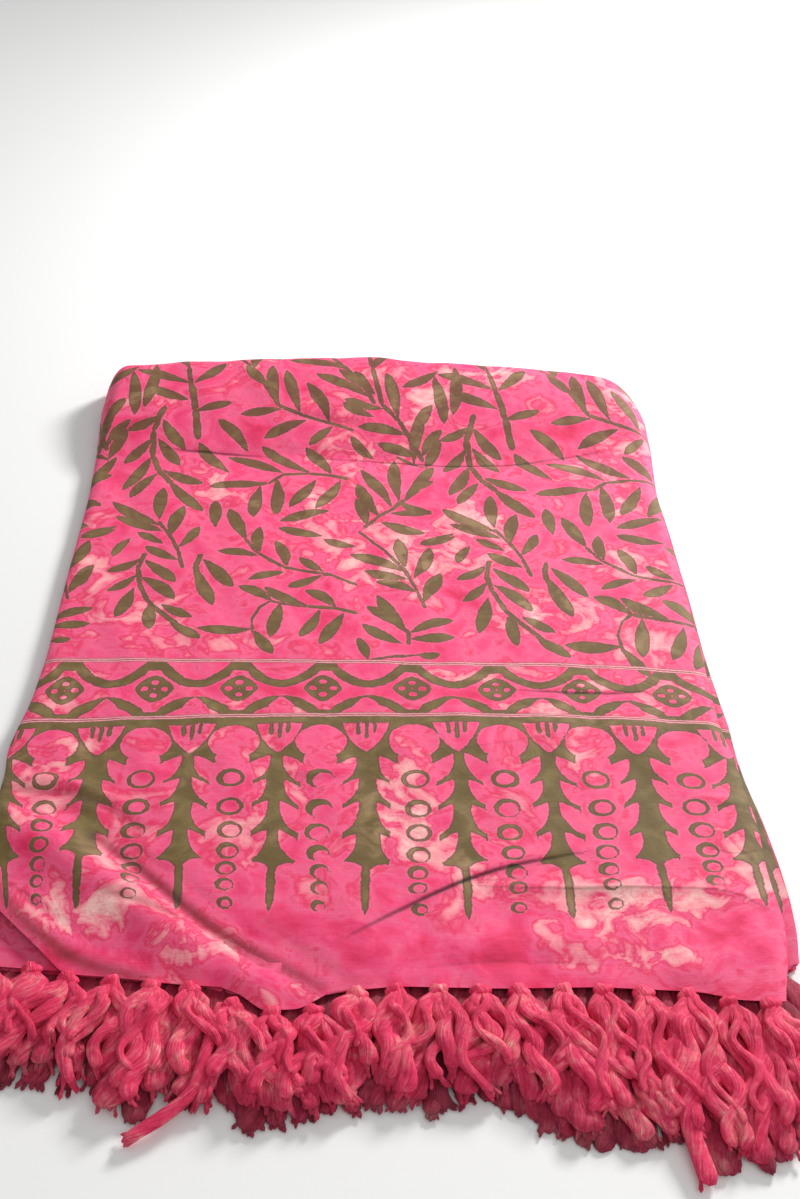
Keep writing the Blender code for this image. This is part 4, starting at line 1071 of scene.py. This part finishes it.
# Locks that lie across the others or reach past them: tassel, half width, and stops.
STRAYS = (
    (6, 0.0052, ((-0.106, -0.335, 0.012), (-0.112, -0.375, 0.017), (-0.118, -0.402, 0.012), (-0.135, -0.416, 0.009),
                 (-0.160, -0.431, 0.005))),
    (17, 0.0088, ((0.187, -0.345, 0.012), (0.192, -0.385, 0.016), (0.186, -0.425, 0.009), (0.194, -0.466, 0.005))),
    (19, 0.0070, ((0.228, -0.345, 0.012), (0.243, -0.385, 0.015), (0.232, -0.420, 0.010), (0.226, -0.449, 0.006))),
    (2, 0.0050, ((-0.235, -0.318, 0.012), (-0.246, -0.340, 0.019), (-0.264, -0.352, 0.018), (-0.276, -0.372, 0.011))),
    (4, 0.0046, ((-0.181, -0.322, 0.012), (-0.196, -0.345, 0.020), (-0.205, -0.372, 0.016), (-0.196, -0.392, 0.009))),
    (9, 0.0048, ((-0.045, -0.345, 0.012), (-0.024, -0.365, 0.020), (-0.032, -0.392, 0.016), (-0.020, -0.408, 0.010))),
    (12, 0.0046, ((0.037, -0.335, 0.012), (0.052, -0.352, 0.020), (0.048, -0.385, 0.017), (0.068, -0.403, 0.010))),
    (15, 0.0050, ((0.118, -0.338, 0.012), (0.110, -0.362, 0.020), (0.137, -0.384, 0.018), (0.158, -0.396, 0.013))),
    (16, 0.0040, ((0.146, -0.338, 0.012), (0.166, -0.360, 0.021), (0.160, -0.395, 0.017), (0.184, -0.414, 0.011))),
)
for n, x in enumerate(knots):
    back = float(np.interp(np.linspace(x - 0.011, x + 0.011, 9), hem_x, hem_y).min())
    z = 0.0116
    tubes, depths = [knot(x, back - 0.0045, z, 1.7 * n)], [0.0]
    width = borders[n + 1] - borders[n]
    for level, lanes, fat in ((1, (0.22, 0.76), 0.0096), (2, (0.20, 0.52, 0.84), 0.0062)):
        for k, share in enumerate(lanes):
            lane = borders[n] + share * width
            root = (x + 0.0060 * (share - 0.5), back - 0.0070, z + 0.0018 * (2 * level - 3))
            slant = float(along(slants, "slant", lane)) + 0.018 * (chance.random() - 0.5)
            sway = (0.0030, 0.0058)[level - 1] * (0.4 + chance.random()) * (1 if chance.random() > 0.5 else -1)
            path = lock_path(root, lane, fringe_end(lane, level), level, back, slant, sway, chance.random())
            twist = (4.5 + 3.0 * chance.random()) * (1 if chance.random() > 0.25 else -1)
            wide = fat * (0.85 + 0.35 * chance.random())
            tall = (0.0046, 0.68 * wide)[level - 1]
            plies = (4, 2)[level - 1] + int(2 * chance.random())
            ends = wisps(path, wide)
            tubes += [lock(path, wide, tall, plies, twist, 6.3 * chance.random()), *ends]
            depths += [0.32 * (2 - level) + 0.25 * chance.random()] * (1 + len(ends))
    slant = float(along(slants, "slant", x)) + 0.030 * (chance.random() - 0.5)
    path = lock_path((x, back - 0.0065, z + 0.002), x, fringe_end(x, 2) + 0.010, 2, back, slant,
                     0.0062, chance.random(), 0.0040)
    tubes.append(lock(path, 0.0034, 0.0028, 2, 8.0, 6.3 * chance.random()))
    depths.append(0.0)
    for number, half, stops in STRAYS:
        if number == n + 1:
            path = free_path(stops)
            tubes += [lock(path, half, 0.62 * half, 2, 4.0, 1.3 * n), *wisps(path, half)]
            depths += [0.12] * 5
    tassel = yarn_piece("knot_and_locks_%02d" % (n + 1), tubes, depths)
    tassel.data.materials.append(yarn_finish)
    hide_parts("tassel_%02d" % (n + 1))
low_x, low_y = second_grid[0, :, 0], second_grid[0, :, 1]
for n in range(LOWER_STRIPS):
    tubes, depths = [], []
    for k in range(LOWER_LOCKS):
        lane = -0.273 + (n * LOWER_LOCKS + k + 0.5) * LOCK_PITCH
        back = float(np.interp(lane, low_x, low_y)) - 0.0006
        slant = float(along(slants, "slant", lane)) + 0.014 * (chance.random() - 0.5)
        path = lock_path((lane, back + 0.002, 0.0036), lane, fringe_end(lane, 0), 0, back, slant,
                         0.0050 * (chance.random() - 0.4), chance.random())
        ends = wisps(path, 0.008)
        tubes += [lock(path, 0.0080, 0.0036, 3, 5.0, 6.3 * chance.random()), *ends]
        depths += [0.75 + 0.25 * chance.random()] * (1 + len(ends))
    strip = yarn_piece("under_locks_%d" % (n + 1), tubes, depths)
    strip.data.materials.append(yarn_finish)
    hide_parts("lower_fringe_%d" % (n + 1))

# The studio
# A plain pale floor, a soft key light behind the cloth on the right, a larger fill from the front, and
# the camera as the photograph was taken: 0.85 m up, looking down by 38 degrees along the cloth.

bpy.ops.mesh.primitive_plane_add(size=30, location=(0, 0, -0.0004))
floor = bpy.context.object
floor.name = "floor"
paper = bpy.data.materials.new("matt_white_paper")
paper.use_nodes = True
grain = add(paper.node_tree, "ShaderNodeTexNoise", {"Scale": 60.0, "Detail": 2.0})
tint = tinted(paper.node_tree, grain, "#FAFAF9", "#FCFCFB")
finish = paper.node_tree.nodes["Principled BSDF"]
paper.node_tree.links.new(tint, finish.inputs["Base Color"])
finish.inputs["Roughness"].default_value = 0.9
floor.data.materials.append(paper)

world = bpy.data.worlds.new("soft_white")
world.use_nodes = True
world.node_tree.nodes["Background"].inputs["Color"].default_value = linear("#FFFFFF")
world.node_tree.nodes["Background"].inputs["Strength"].default_value = 0.42
bpy.context.scene.world = world
bpy.context.scene.view_settings.view_transform = "Standard"
for name, place, aim, size, power in (
    ("key", (1.15, 1.25, 0.95), (0, -0.2, 0), 0.45, 43.0),
    ("fill", (0.6, -1.5, 1.6), (0, -0.3, 0), 1.4, 8.0),
):
    lamp = bpy.data.lights.new(name, "AREA")
    lamp.energy, lamp.size = power, size
    light = placed(name, lamp)
    light.location = place
    back = np.array(place) - np.array(aim)
    light.rotation_euler = (math.acos(back[2] / np.linalg.norm(back)), 0, math.atan2(back[0], -back[1]))

lens = bpy.data.cameras.new("camera")
lens.lens, lens.sensor_width = 1542 / 1199 * 36, 36
camera = placed("camera", lens)
camera.location = (0, -0.965, 0.846)
camera.rotation_euler = (math.radians(90 - 38.34), 0, math.radians(-1.02))
bpy.context.scene.camera = camera
